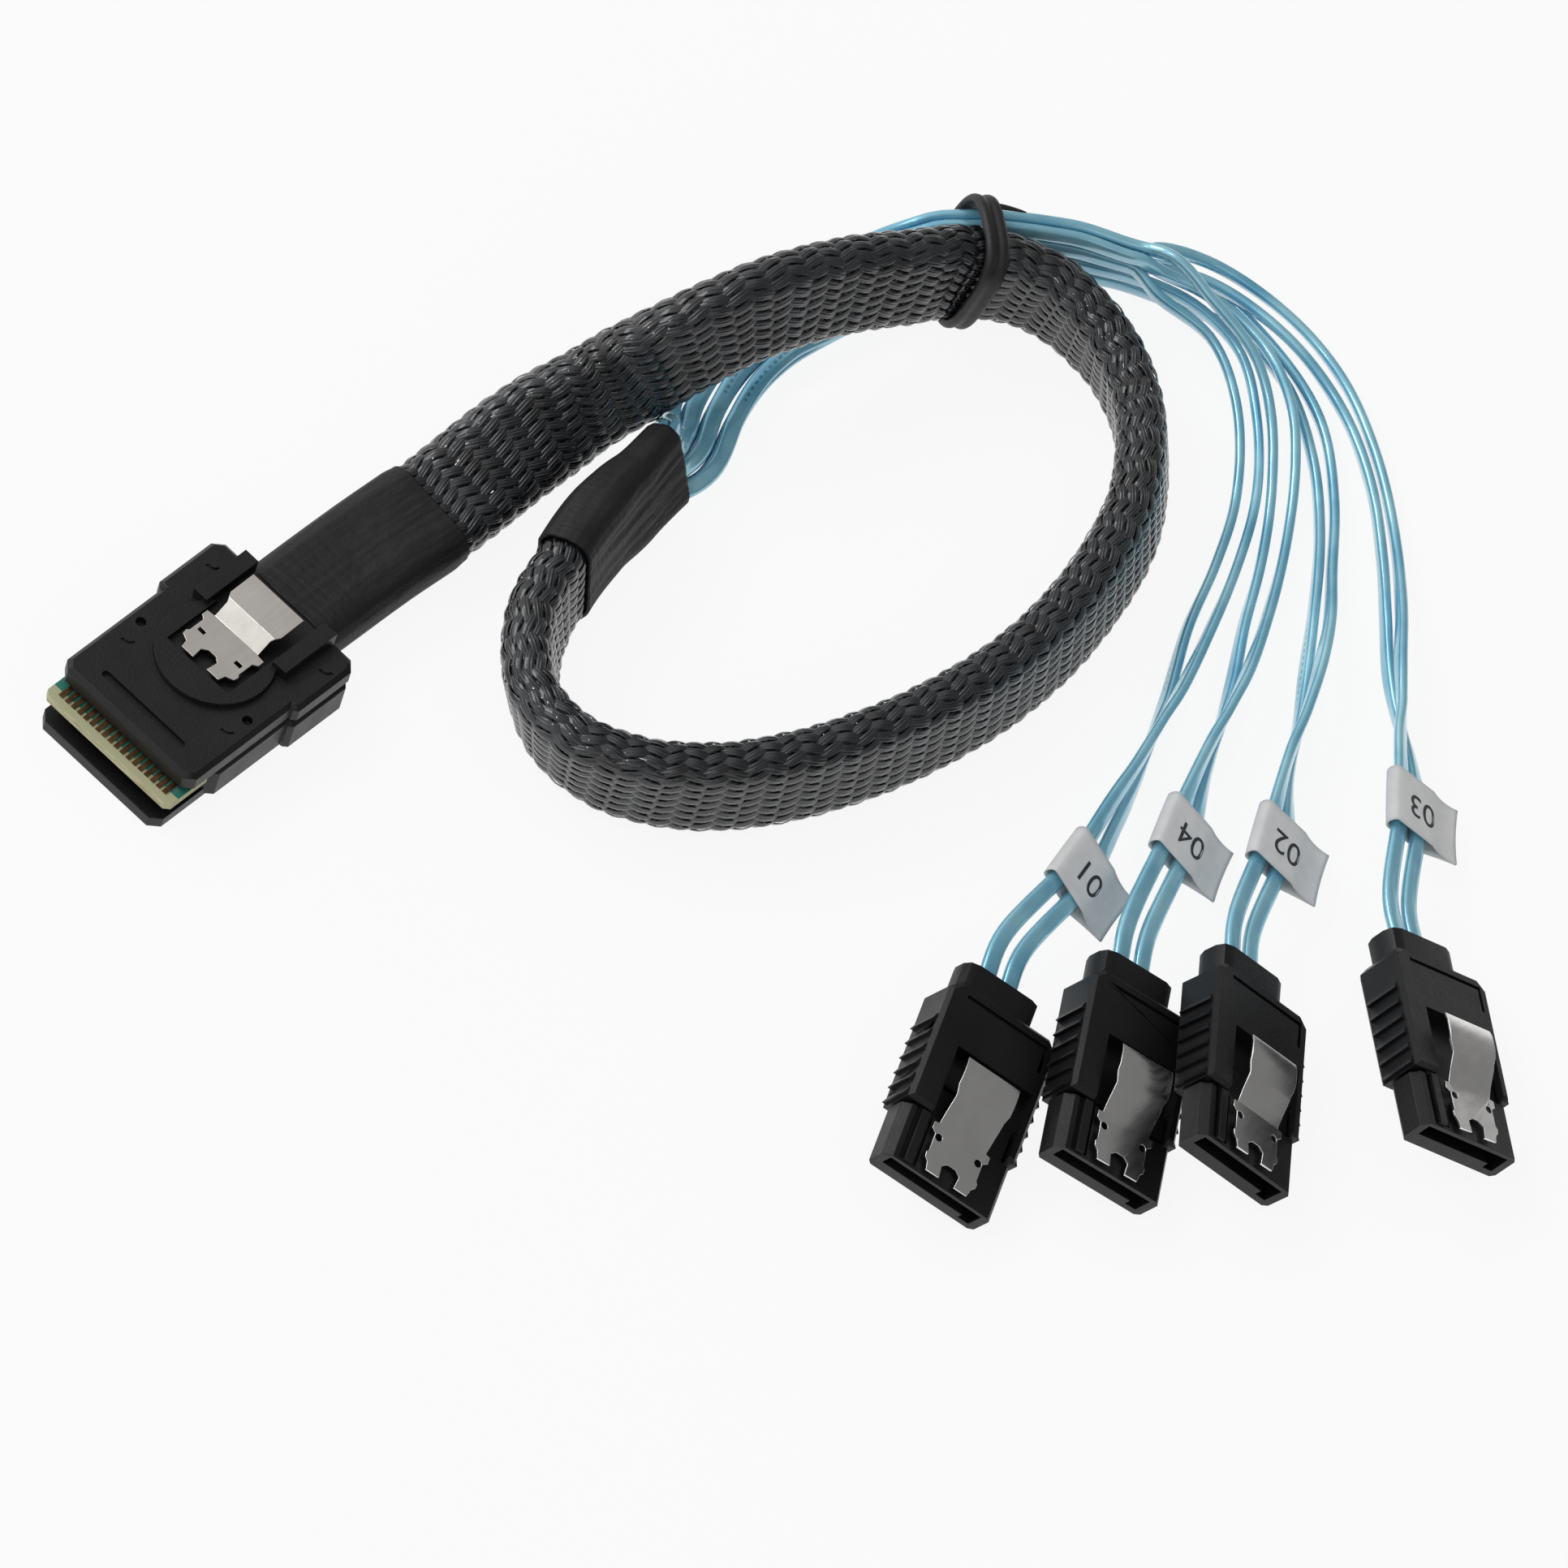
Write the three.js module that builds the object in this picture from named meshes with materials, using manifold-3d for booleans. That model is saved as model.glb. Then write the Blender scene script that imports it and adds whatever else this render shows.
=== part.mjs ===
import * as THREE from "three";
import { mergeVertices } from "three/addons/utils/BufferGeometryUtils.js";
import Module from "manifold-3d";

const wasm = await Module();
wasm.setup();

// Millimetres. +X is the host plug's mating direction, +Z is up, z = 0 is the surface that the cable lies on.
const fit = 0.3; // clearance between pieces that seat on each other
const skinFit = 0.05; // clearance under thin plated parts
const through = 1; // how far a cutting tool runs past a face

// Host plug
const hostRearX = -12.4;
const hostStepX = -3;
const hostFrontX = 12.2;
const hostRearHalf = 10.4;
const hostFrontHalf = 9.6;
const hostHeight = 7.7;
const hostCorner = 1.1;
const hostWall = 1;
const partingZ = 4.9;
const tongueFrontX = 15;
const tongueHalf = 8.8;
const tongueHeight = 1.5;
const bottomWallFrontX = 8;
const shellChamfer = 0.5;
const cardMiddleZ = 4.2;
const cardHeight = 1;
const cardFrontX = 14.4;
const cardRearX = -4.7;
const cardFrontHalf = 9.2;
const cardWideFromX = bottomWallFrontX + 0.4;
const padCount = 18;
const padPitch = 0.9;
const padWidth = 0.56;
const padLength = 2;
const padHeight = 0.12;
const padSetback = 0.9;
const padBarLength = 0.5;
const bossRadius = 6.8;
const bossCentreX = -1.2;
const bossHeight = 0.7;
const railInnerHalf = 4.9;
const railWidth = 1.9;
const railHeight = 1.5;
const railFrontX = -4.6;
const grooveX = 9.5;
const grooveHalf = 6;
const grooveWidth = 0.9;
const grooveDepth = 0.5;
const pinHoleX = 1.9;
const pinHoleHalf = 7.9;
const pinHoleRadius = 0.6;
const markRadius = 1.1;
const markWidth = 0.35;
const markPlaces = [[-9.1, -8.3], [-9, 8.5], [4.6, -7.4], [4.5, 7.2]];
const blockLength = 5.6;
const blockHeight = 5.2;

// Sheet-metal latches
const sheet = 0.3;
const hostLeafHalf = 4.2;
const hostLeafFrontX = 1.3;
const hostFoldX = -4.2;
const hostFoldHalf = 3.2;
const hostTabHalf = 3.75;
const hostTabFrontX = -6.2;
const hostTabRearX = -10.2;
const hostTabRise = 1.4;
const fingerNotchHalf = 1;
const fingerNotchDepth = 1.9;
const dimpleLength = 0.5;
const dimpleWidth = 0.9;
const latchSwing = 0.75; // room under a leaf for its swing

// Drive plugs: u forward from the rear of the grip, y across, z up from the grip's middle
const gripLength = 15.3;
const gripHalf = 7.1;
const gripHeight = 5.6;
const gripCorner = 1.3;
const gripChamfer = 0.45;
const ribCount = 6;
const ribStartU = 4;
const ribHeight = 0.45;
const neckLength = 3;
const neckHalf = 4.8;
const neckHeight = 4.4;
const neckOffsetY = -1;
const windowRearU = 7.1;
const windowLowY = -3.9;
const windowHighY = 6;
const shellLength = 22.3;
const shellHalf = 7;
const shellTopZ = 2.1;
const shellHeight = 3.8;
const tenonLength = 3.4;
const tenonInset = 1.2;
const slotHalf = 6;
const slotHeight = 1.6;
const slotTopInset = 0.55;
const slotDepth = 6.2;
const keyWidth = 1.4;
const keyHeight = 0.8;
const shellRailWidth = 1;
const shellRailHeight = 0.35;
const shellGroove = 0.55;
const contactCount = 7;
const contactPitch = 1.27;
const contactWidth = 0.7;
const contactHeight = 0.25;
const contactSetback = 0.5;
const gripGrooveWidth = 0.45;
const gripGrooveDepth = 0.35;
const gripGrooveInset = 1.2;
const gripGrooveDrop = 3.2;
const leafOffsetY = 0.3;
const leafHalf = 3.7;
const leafFrontSetback = 0.4;
const leafLength = 5.6;
const tabHalf = 3.4;
const tabRearU = 8.6;
const tabCrestU = 11;
const tabRise = 1.9;
const tabShoulderShare = 0.45; // of the slope from the tab's crest down to the fold
const tabFootShare = 0.77;

// Leads, sleeve and what is on them
const leadWidth = 2;
const leadHeight = 1.1;
const leadGap = 0.3;
const leadColumns = 4;
const leadRows = 2;
const pairPitch = 2.8;
const leadEndU = 3.6; // how far a lead reaches into its grip
const sleeveWidth = 11.6;
const sleeveHeight = 5;
const sleeveWall = 0.5;
const sleeveRadius = 2.2;
const shrinkWall = 0.4;
const shrinkGap = 0.25;
const trunkSteps = 40;
const bundleSteps = 20;
const fanSteps = 32;
const hostShrinkLength = 21.5;
const endShrinkSteps = 3; // in steps of the trunk, as the sleeve inside it
const sleeveRearSteps = 2; // whole steps of the trunk that the sleeve leaves free at the host plug
const mouthWidth = 10.6;
const mouthHeight = 5;
const tieWidth = 2.8;
const tieThickness = 1.1;
const tieWaypoint = 11; // row of the trunk's route
const tieTailLength = 3.6;
const labelLength = 7;
const labelSheet = 0.3;
const labelTail = 3.6;
const labelSlack = 0.5;

const bundleWidth = leadColumns * leadWidth + (leadColumns - 1) * leadGap;
const bundleHeight = leadRows * leadHeight + (leadRows - 1) * leadGap;

// Routes: x, y, z and the turn of the flat side about the route, in degrees
const trunkRoute = [
  [-5, 0, 4.2, 0], [-10.7, 0, 4.2, 0], [-18, 0, 4.2, 0], [-25.3, 0.1, 4.2, 0], [-36, 0.6, 4.5, -6],
  [-46.9, 1, 6.2, -32], [-57.3, 2.5, 8.3, -61], [-65.4, 5.4, 12.6, -69], [-74, 7.9, 14.4, -73],
  [-84, 10.8, 13.2, -77], [-92, 14, 11.5, -81], [-99.6, 17.2, 9.4, -86], [-104.6, 23, 8.2, -94],
  [-105.9, 28.9, 7.2, -100], [-105.1, 35, 6.6, -103], [-101.9, 41.1, 6.4, -104], [-96.7, 46.2, 6.4, -104],
  [-90.5, 50.1, 6.4, -103], [-78, 53.8, 6.3, -100], [-67, 54.8, 6.3, -98], [-57.7, 54, 6.3, -97],
  [-48.8, 52.1, 6.3, -96], [-39.4, 48.7, 6.3, -94], [-31.3, 43.9, 6.3, -90], [-25.5, 37.6, 6.4, -84],
  [-23.3, 31.2, 6.5, -76], [-24.5, 25, 6.6, -72], [-30.2, 19.2, 6.6, -74], [-38.4, 15.8, 6.4, -80],
  [-45.8, 14, 6.5, -78], [-51.4, 13.6, 6.5, -70], [-57.6, 12.9, 6.4, -60],
];
const bundleRoute = [
  [-63.1, 11.6, 3.4, -23], [-68.6, 8.9, 2.2, -7], [-75, 6.8, 1.9, -2], [-81.5, 6.2, 2, -3],
  [-88.5, 7.5, 3.2, -20], [-95, 9.9, 5.6, -54], [-99.2, 11.9, 8.3, -78], [-102.5, 14, 8.8, -87],
  [-110.5, 20.3, 7.7, -93], [-116, 26.4, 6.5, -102],
];
const fanRoutes = [
  [
    [-115.6, 31, 6.4, -108], [-117.3, 38.1, 4.6, -116], [-114.2, 45.2, 3, -108], [-106.2, 52.9, 1.8, -98],
    [-97.9, 57.5, 1.5, -90], [-90, 60.9, 1.5, -80],
  ],
  [
    [-119.2, 33.5, 4.4, -110], [-119.9, 40.5, 2.6, -116], [-115.5, 47.5, 1.5, -106],
    [-108.1, 54.2, 1.5, -98], [-100, 58.9, 1.8, -90], [-91, 63, 3, -76],
  ],
  [
    [-117.5, 30.5, 11.1, -108], [-118.2, 35.9, 9, -114], [-118.3, 43.1, 6.4, -116],
    [-115.6, 48.7, 4, -104], [-109.4, 55.1, 2, -98], [-101.8, 60.6, 1.5, -90], [-94.8, 64.7, 1.5, -80],
  ],
  [
    [-117.1, 29.7, 8, -104], [-119.9, 34.5, 6.6, -110], [-120.5, 42.9, 5.6, -116], [-118.1, 49.4, 4.2, -106],
    [-113.7, 54.5, 2.6, -98], [-106, 60.5, 1.6, -92], [-96.5, 66.1, 2.8, -78],
  ],
  [
    [-118.4, 30, 2.3, -108], [-122.3, 37.9, 1.5, -114], [-121.7, 46, 1.3, -108],
    [-116.8, 54.6, 1.3, -100], [-110.2, 61.7, 1.4, -94], [-103, 67.6, 1.5, -86],
  ],
  [
    [-119, 25, 2.6, -100], [-123.6, 30.8, 2.2, -110], [-123.9, 42.3, 1.7, -116],
    [-121, 51.9, 1.4, -104], [-114.5, 59.9, 1.4, -97], [-107.5, 65.9, 1.8, -90], [-101.4, 70.8, 3.1, -78],
  ],
  [
    [-122.5, 32.6, 4.6, -110], [-124.5, 42.9, 4, -116], [-123.6, 52.5, 2, -106],
    [-119.4, 60.7, 1.5, -98], [-113.1, 68.3, 1.5, -92], [-107.9, 73.6, 1.5, -84],
  ],
  [
    [-119.5, 27, 7.2, -102], [-124.6, 31.9, 4.9, -110], [-127.4, 41.4, 3, -118], [-126.6, 50.2, 1.8, -110],
    [-122.3, 59.1, 1.5, -102], [-116.2, 67.3, 1.6, -96], [-108.7, 74.8, 2.9, -82],
  ],
];
// Where each lead lies in the flat bundle: place across it, and layer
const bundlePlace = [[1, 1], [2, 1], [0, 0], [0, 1], [3, 1], [3, 0], [2, 0], [1, 0]];
// Each drive plug's origin x and y, turn about Z, nose-down angle and roll in degrees, and the route of the
// middle of its two leads up to the label, whose middle is the last row
const drivePlugs = [
  {
    at: [-34.1, 83.2],
    yaw: 26.1,
    nose: 5.1,
    roll: -24.8,
    pair: [
      [-81.9, 66.1, 2.7, -66], [-76.5, 68.3, 2.8, -84], [-70.8, 70.7, 3.3, -102], [-64.4, 73, 4.4, -120],
      [-54.9, 76.3, 6, -142],
    ],
  },
  {
    at: [-47.2, 91.1],
    yaw: 34.1,
    nose: 2.4,
    roll: -28.4,
    pair: [[-89, 69.2, 2.7, -66], [-83.9, 71.7, 2.8, -84], [-78.4, 74.2, 3.3, -104], [-66.9, 80, 5.6, -144]],
  },
  {
    at: [-57.3, 98.3],
    yaw: 38.9,
    nose: -2,
    roll: -36,
    pair: [[-96, 73.5, 2.7, -66], [-90.6, 77, 2.7, -84], [-84.6, 80.4, 3.2, -104], [-74.4, 87.1, 5.4, -146]],
  },
  {
    at: [-74.3, 108.2],
    yaw: 52.5,
    nose: -2,
    roll: -33.4,
    pair: [[-103, 79.1, 2.7, -76], [-99.6, 82.9, 2.7, -92], [-95.8, 86.9, 3.7, -122], [-89.2, 93.2, 5.4, -144]],
  },
];

const radians = THREE.MathUtils.degToRad;
const finish = (color, roughness, metalness = 0) => new THREE.MeshStandardMaterial({ color, roughness, metalness });
const blackPlastic = finish(0x202124, 0.55);
const blackSleeve = finish(0x17181b, 0.45);
const blackShrink = finish(0x1b1b1d, 0.7);
const blackRubber = finish(0x141416, 0.6);
const nickel = finish(0xc9c7c2, 0.25, 1);
const gold = finish(0xb08d3e, 0.35, 1);
const boardGreen = finish(0xc9cfa0, 0.5);
const leadBlue = finish(0x7cc4e8, 0.25);
const potting = finish(0x2b2b2b, 0.8);
const paperWhite = finish(0xf1f1ef, 0.75);

const cable = new THREE.Group();

function solid(geometry) {
  const plain = geometry.index ? geometry.toNonIndexed() : geometry.clone();
  plain.deleteAttribute("normal");
  plain.deleteAttribute("uv");
  const merged = mergeVertices(plain, 1e-4);
  return new wasm.Manifold(
    new wasm.Mesh({
      numProp: 3,
      vertProperties: new Float32Array(merged.attributes.position.array),
      triVerts: new Uint32Array(merged.index.array),
    }),
  );
}

function geometryOf(made) {
  const mesh = made.getMesh();
  return new THREE.BufferGeometry()
    .setAttribute("position", new THREE.BufferAttribute(new Float32Array(mesh.vertProperties), 3))
    .setIndex(new THREE.BufferAttribute(new Uint32Array(mesh.triVerts), 1));
}

function addPiece(parent, name, made, material) {
  const geometry = geometryOf(made);
  geometry.computeVertexNormals();
  const mesh = new THREE.Mesh(geometry, material);
  mesh.name = name;
  parent.add(mesh);
  return mesh;
}

function box(x0, x1, y0, y1, z0, z1) {
  const geometry = new THREE.BoxGeometry(x1 - x0, y1 - y0, z1 - z0);
  geometry.translate((x0 + x1) / 2, (y0 + y1) / 2, (z0 + z1) / 2);
  return solid(geometry);
}

function outline(points) {
  return new THREE.Shape(points.map(([x, y]) => new THREE.Vector2(x, y)));
}

// An outline in x and y raised from z0 to z1, with its top and bottom edges chamfered.
function plate(shape, z0, z1, chamfer = 0) {
  const geometry = new THREE.ExtrudeGeometry(shape, {
    depth: z1 - z0 - 2 * chamfer,
    curveSegments: 6,
    bevelEnabled: chamfer > 0,
    bevelThickness: chamfer,
    bevelSize: chamfer,
    bevelOffset: -chamfer,
    bevelSegments: 1,
  });
  geometry.translate(0, 0, z0 + chamfer);
  return solid(geometry);
}

function roundedRectangle(width, height, radius, arcPoints = 2) {
  const shape = new THREE.Shape();
  const corners = [[1, 1, 0], [-1, 1, 90], [-1, -1, 180], [1, -1, 270]];
  const points = corners.flatMap(([sx, sy, from]) =>
    Array.from({ length: arcPoints + 1 }, (_, i) => {
      const angle = radians(from + (90 * i) / arcPoints);
      const cx = sx * (width / 2 - radius);
      const cy = sy * (height / 2 - radius);
      return new THREE.Vector2(cx + radius * Math.cos(angle), cy + radius * Math.sin(angle));
    }),
  );
  shape.setFromPoints(points);
  return shape;
}

// A route whose stations carry their own cross directions, so that a flat section can turn and change size.
class RibbonPath extends THREE.Curve {
  constructor(stations) {
    super();
    this.stations = stations;
  }
  getPoint(t) {
    return this.stations[Math.round(t * (this.stations.length - 1))].point;
  }
  getSpacedPoints() {
    return this.stations.map((s) => s.point);
  }
  computeFrenetFrames() {
    return {
      tangents: this.stations.map((s) => s.along),
      normals: this.stations.map((s) => s.wide.clone().multiplyScalar(s.scaleWide ?? 1)),
      binormals: this.stations.map((s) => s.thick.clone().multiplyScalar(-(s.scaleThick ?? 1))),
    };
  }
}

function crossDirections(along, turn) {
  const level = new THREE.Vector3(along.y, -along.x, 0).normalize();
  const up = new THREE.Vector3().crossVectors(level, along);
  const wide = level.clone().multiplyScalar(Math.cos(turn)).addScaledVector(up, Math.sin(turn));
  const thick = level.clone().multiplyScalar(-Math.sin(turn)).addScaledVector(up, Math.cos(turn));
  return { wide, thick };
}

// Reads a route of [x, y, z, turn] as a smooth curve: stations by distance or by waypoint.
function smoothRoute(route) {
  const curve = new THREE.CatmullRomCurve3(
    route.map(([x, y, z]) => new THREE.Vector3(x, y, z)),
    false,
    "centripetal",
  );
  const perSpan = 12;
  curve.arcLengthDivisions = perSpan * (route.length - 1);
  const lengths = curve.getLengths();
  const length = lengths[lengths.length - 1];
  const stationAt = (t) => {
    const place = t * (route.length - 1);
    const from = Math.min(Math.floor(place), route.length - 2);
    const blend = THREE.MathUtils.smoothstep(place - from, 0, 1);
    const turn = radians(THREE.MathUtils.lerp(route[from][3], route[from + 1][3], blend));
    const along = curve.getTangent(t).normalize();
    return { point: curve.getPoint(t), along, turn, ...crossDirections(along, turn) };
  };
  return {
    length,
    distanceTo: (waypoint) => lengths[waypoint * perSpan],
    stationAtWaypoint: (waypoint) => stationAt(waypoint / (route.length - 1)),
    station: (distance) => stationAt(curve.getUtoTmapping(THREE.MathUtils.clamp(distance / length, 0, 1))),
  };
}

function stationsBetween(path, from, to, steps) {
  return Array.from({ length: steps + 1 }, (_, i) => path.station(from + ((to - from) * i) / steps));
}

function sweep(shape, stations) {
  return solid(
    new THREE.ExtrudeGeometry(shape, {
      steps: stations.length - 1,
      curveSegments: 1,
      bevelEnabled: false,
      extrudePath: new RibbonPath(stations),
    }),
  );
}

function tubeShape(width, height, wall, radius) {
  const shape = roundedRectangle(width, height, radius);
  shape.holes.push(roundedRectangle(width - 2 * wall, height - 2 * wall, radius - wall));
  return shape;
}

function hostOutline(frontX, chamfer) {
  const c = hostCorner;
  const half = [
    [hostRearX, hostRearHalf - c], [hostRearX + c, hostRearHalf], [hostStepX - chamfer, hostRearHalf],
    [hostStepX, hostRearHalf - chamfer], [hostStepX, hostFrontHalf], [frontX - c, hostFrontHalf],
    [frontX, hostFrontHalf - c],
  ];
  const other = half.map(([x, y]) => [x, -y]).reverse();
  return outline([...half, ...other].reverse());
}

function curvedMark(x, y, top) {
  const start = radians(-20);
  const sweepAngle = radians(100);
  const shape = new THREE.Shape();
  shape.absarc(0, 0, markRadius, start, start + sweepAngle, false);
  shape.absarc(0, 0, markRadius - markWidth, start + sweepAngle, start, true);
  return plate(shape, top - grooveDepth / 2, top + through).translate([x - markRadius / 2, y, 0]);
}

function makeHostTopShell() {
  const top = hostHeight;
  let made = plate(hostOutline(hostFrontX, shellChamfer), partingZ + fit / 2, top, shellChamfer);
  const disc = new THREE.CylinderGeometry(bossRadius - 0.25, bossRadius, bossHeight + 0.5, 36);
  disc.rotateX(Math.PI / 2);
  disc.translate(bossCentreX, 0, top + bossHeight / 2 - 0.25);
  const bossRear = box(hostStepX - bossRadius, bossCentreX, -bossRadius, bossRadius, top - 0.5, top + bossHeight);
  const boss = solid(disc).subtract(bossRear.translate([hostStepX - bossRadius, 0, 0]));
  made = made.add(boss);
  for (const side of [-1, 1]) {
    const inner = side * railInnerHalf;
    const outer = side * (railInnerHalf + railWidth);
    made = made.add(
      box(hostRearX, railFrontX, Math.min(inner, outer), Math.max(inner, outer), top - 0.5, top + railHeight),
    );
  }
  const leafRoom = top + bossHeight - latchSwing;
  made = made.subtract(
    box(hostRearX - through, hostLeafFrontX + fit, -hostLeafHalf - fit, hostLeafHalf + fit, leafRoom, top + 2 * railHeight),
  );
  const groove = plate(roundedRectangle(grooveWidth, 2 * grooveHalf, grooveWidth / 2.05), top - grooveDepth, top + 1);
  made = made.subtract(groove.translate([grooveX, 0, 0]));
  for (const side of [-1, 1]) {
    const hole = new THREE.CylinderGeometry(pinHoleRadius, pinHoleRadius, 2, 12);
    hole.rotateX(Math.PI / 2);
    hole.translate(pinHoleX, side * pinHoleHalf, top);
    made = made.subtract(solid(hole));
  }
  for (const [x, y] of markPlaces) made = made.subtract(curvedMark(x, y, top));
  // Room for the strain block and the leads behind the card
  const roof = cardMiddleZ + blockHeight / 2 + fit;
  made = made.subtract(
    box(cardRearX - blockLength - 2 * fit, cardRearX, -bundleWidth / 2 - 1, bundleWidth / 2 + 1, 0, roof - 0.9),
  );
  const slotHalfWidth = bundleWidth / 2 + fit;
  const slotHigh = cardMiddleZ + bundleHeight / 2 + fit;
  made = made.subtract(box(hostRearX - through, cardRearX - blockLength, -slotHalfWidth, slotHalfWidth, 0, slotHigh));
  return made;
}

function makeHostBottomShell() {
  const top = partingZ - fit / 2;
  let made = plate(hostOutline(bottomWallFrontX, shellChamfer), 0, top, shellChamfer);
  const tongue = outline([
    [0, -tongueHalf], [tongueFrontX - hostCorner, -tongueHalf], [tongueFrontX, -tongueHalf + hostCorner],
    [tongueFrontX, tongueHalf - hostCorner], [tongueFrontX - hostCorner, tongueHalf], [0, tongueHalf],
  ]);
  made = made.add(plate(tongue, 0, tongueHeight));
  const cardFloor = cardMiddleZ - cardHeight / 2 - fit;
  const pocketHalf = hostFrontHalf - hostWall;
  const wellRearX = cardRearX - blockLength - 2 * fit;
  const clearX = tongueFrontX + through;
  const clearZ = hostHeight + through;
  made = made.subtract(box(cardRearX - fit, clearX, -pocketHalf, pocketHalf, cardFloor, clearZ));
  made = made.subtract(box(cardRearX + 3, clearX, -pocketHalf + 1.2, pocketHalf - 1.2, tongueHeight, clearZ));
  const blockHalf = bundleWidth / 2 + 1;
  made = made.subtract(box(wellRearX, cardRearX, -blockHalf, blockHalf, cardMiddleZ - blockHeight / 2 + 0.7, clearZ));
  // Slot in the rear wall for the leads
  const slotHalfWidth = bundleWidth / 2 + fit;
  const slotLow = cardMiddleZ - bundleHeight / 2 - fit;
  made = made.subtract(box(hostRearX - through, wellRearX + through, -slotHalfWidth, slotHalfWidth, slotLow, clearZ));
  return made;
}

function makeCard() {
  const half = hostFrontHalf - hostWall - fit;
  const c = 0.6;
  const shape = outline([
    [cardRearX, -half], [cardWideFromX, -half], [cardWideFromX, -cardFrontHalf], [cardFrontX - c, -cardFrontHalf],
    [cardFrontX, -cardFrontHalf + c], [cardFrontX, cardFrontHalf - c], [cardFrontX - c, cardFrontHalf],
    [cardWideFromX, cardFrontHalf], [cardWideFromX, half], [cardRearX, half],
  ]);
  return plate(shape, cardMiddleZ - cardHeight / 2, cardMiddleZ + cardHeight / 2);
}

function makePads(side) {
  const seat = cardHeight / 2 + skinFit;
  const low = side > 0 ? cardMiddleZ + seat : cardMiddleZ - seat - padHeight;
  const front = cardFrontX - padSetback;
  const rear = front - padLength;
  const span = ((padCount - 1) * padPitch + padWidth) / 2;
  let made = box(rear - padBarLength, rear, -span, span, low, low + padHeight);
  for (let i = 0; i < padCount; i += 1) {
    const y = (i - (padCount - 1) / 2) * padPitch;
    made = made.add(box(rear - 0.01, front, y - padWidth / 2, y + padWidth / 2, low, low + padHeight));
  }
  return made;
}

function makeStrainBlock() {
  const rear = cardRearX - fit - blockLength;
  const front = cardRearX - fit;
  const half = bundleWidth / 2 + 1 - fit;
  const low = cardMiddleZ - blockHeight / 2 + 0.7 + fit;
  const high = cardMiddleZ + blockHeight / 2 - 0.9;
  const block = box(rear, front, -half, half, low, high);
  const roomHalf = bundleWidth / 2 + 0.2;
  const roomHigh = bundleHeight / 2 + 0.2;
  return block.subtract(
    box(rear - through, front + through, -roomHalf, roomHalf, cardMiddleZ - roomHigh, cardMiddleZ + roomHigh),
  );
}

// A bent sheet: outline in x and y cut through a strip whose side view follows a line of x and z.
function bentSheet(shape, sideLine) {
  const upper = sideLine.map(([x, z]) => [x, z + sheet]).reverse();
  const strip = new THREE.ExtrudeGeometry(outline([...sideLine, ...upper]), { depth: 40, bevelEnabled: false });
  strip.rotateX(Math.PI / 2);
  strip.translate(0, 20, 0);
  return solid(strip).intersect(plate(shape, -20, 20));
}

function latchOutline(front, half, fold, foldHalf, tabFront, tabRear, tabEndHalf) {
  const tooth = 0.55;
  const n = fingerNotchHalf;
  const depth = fingerNotchDepth;
  const side = [
    [front, n], [front, n + 1.7], [front - 0.9, n + 1.9], [front - 1.3, half - 0.4], [front - 1.9, half - 0.3],
    [front - 2.2, half - tooth], [fold + 1.3, half - tooth], [fold + 0.9, half], [fold + 0.1, half],
    [fold, foldHalf], [tabFront + 0.4, foldHalf], [tabFront - 0.6, tabEndHalf], [tabRear, tabEndHalf],
  ];
  const notch = [[front - depth + 0.5, n + 0.15], [front - depth, n - 0.5]];
  const left = [...notch.reverse(), ...side];
  const right = left.map(([x, y]) => [x, -y]).reverse();
  return outline([...left, ...right]);
}

function makeHostLatch() {
  const z = hostHeight + bossHeight - 0.05;
  const shape = latchOutline(
    hostLeafFrontX, hostLeafHalf, hostFoldX, hostFoldHalf, hostTabFrontX, hostTabRearX, hostTabHalf,
  );
  let made = bentSheet(shape, [
    [hostTabRearX - 1, z + hostTabRise + 0.2], [hostTabFrontX, z + hostTabRise], [hostFoldX, z], [5, z],
  ]);
  for (const side of [-1, 1]) {
    const x = hostFoldX + 2.2;
    const y = side * (hostLeafHalf - 1.5);
    made = made.subtract(box(x, x + dimpleLength, y - dimpleWidth / 2, y + dimpleWidth / 2, z - 1, z + 1));
  }
  return made;
}

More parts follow.
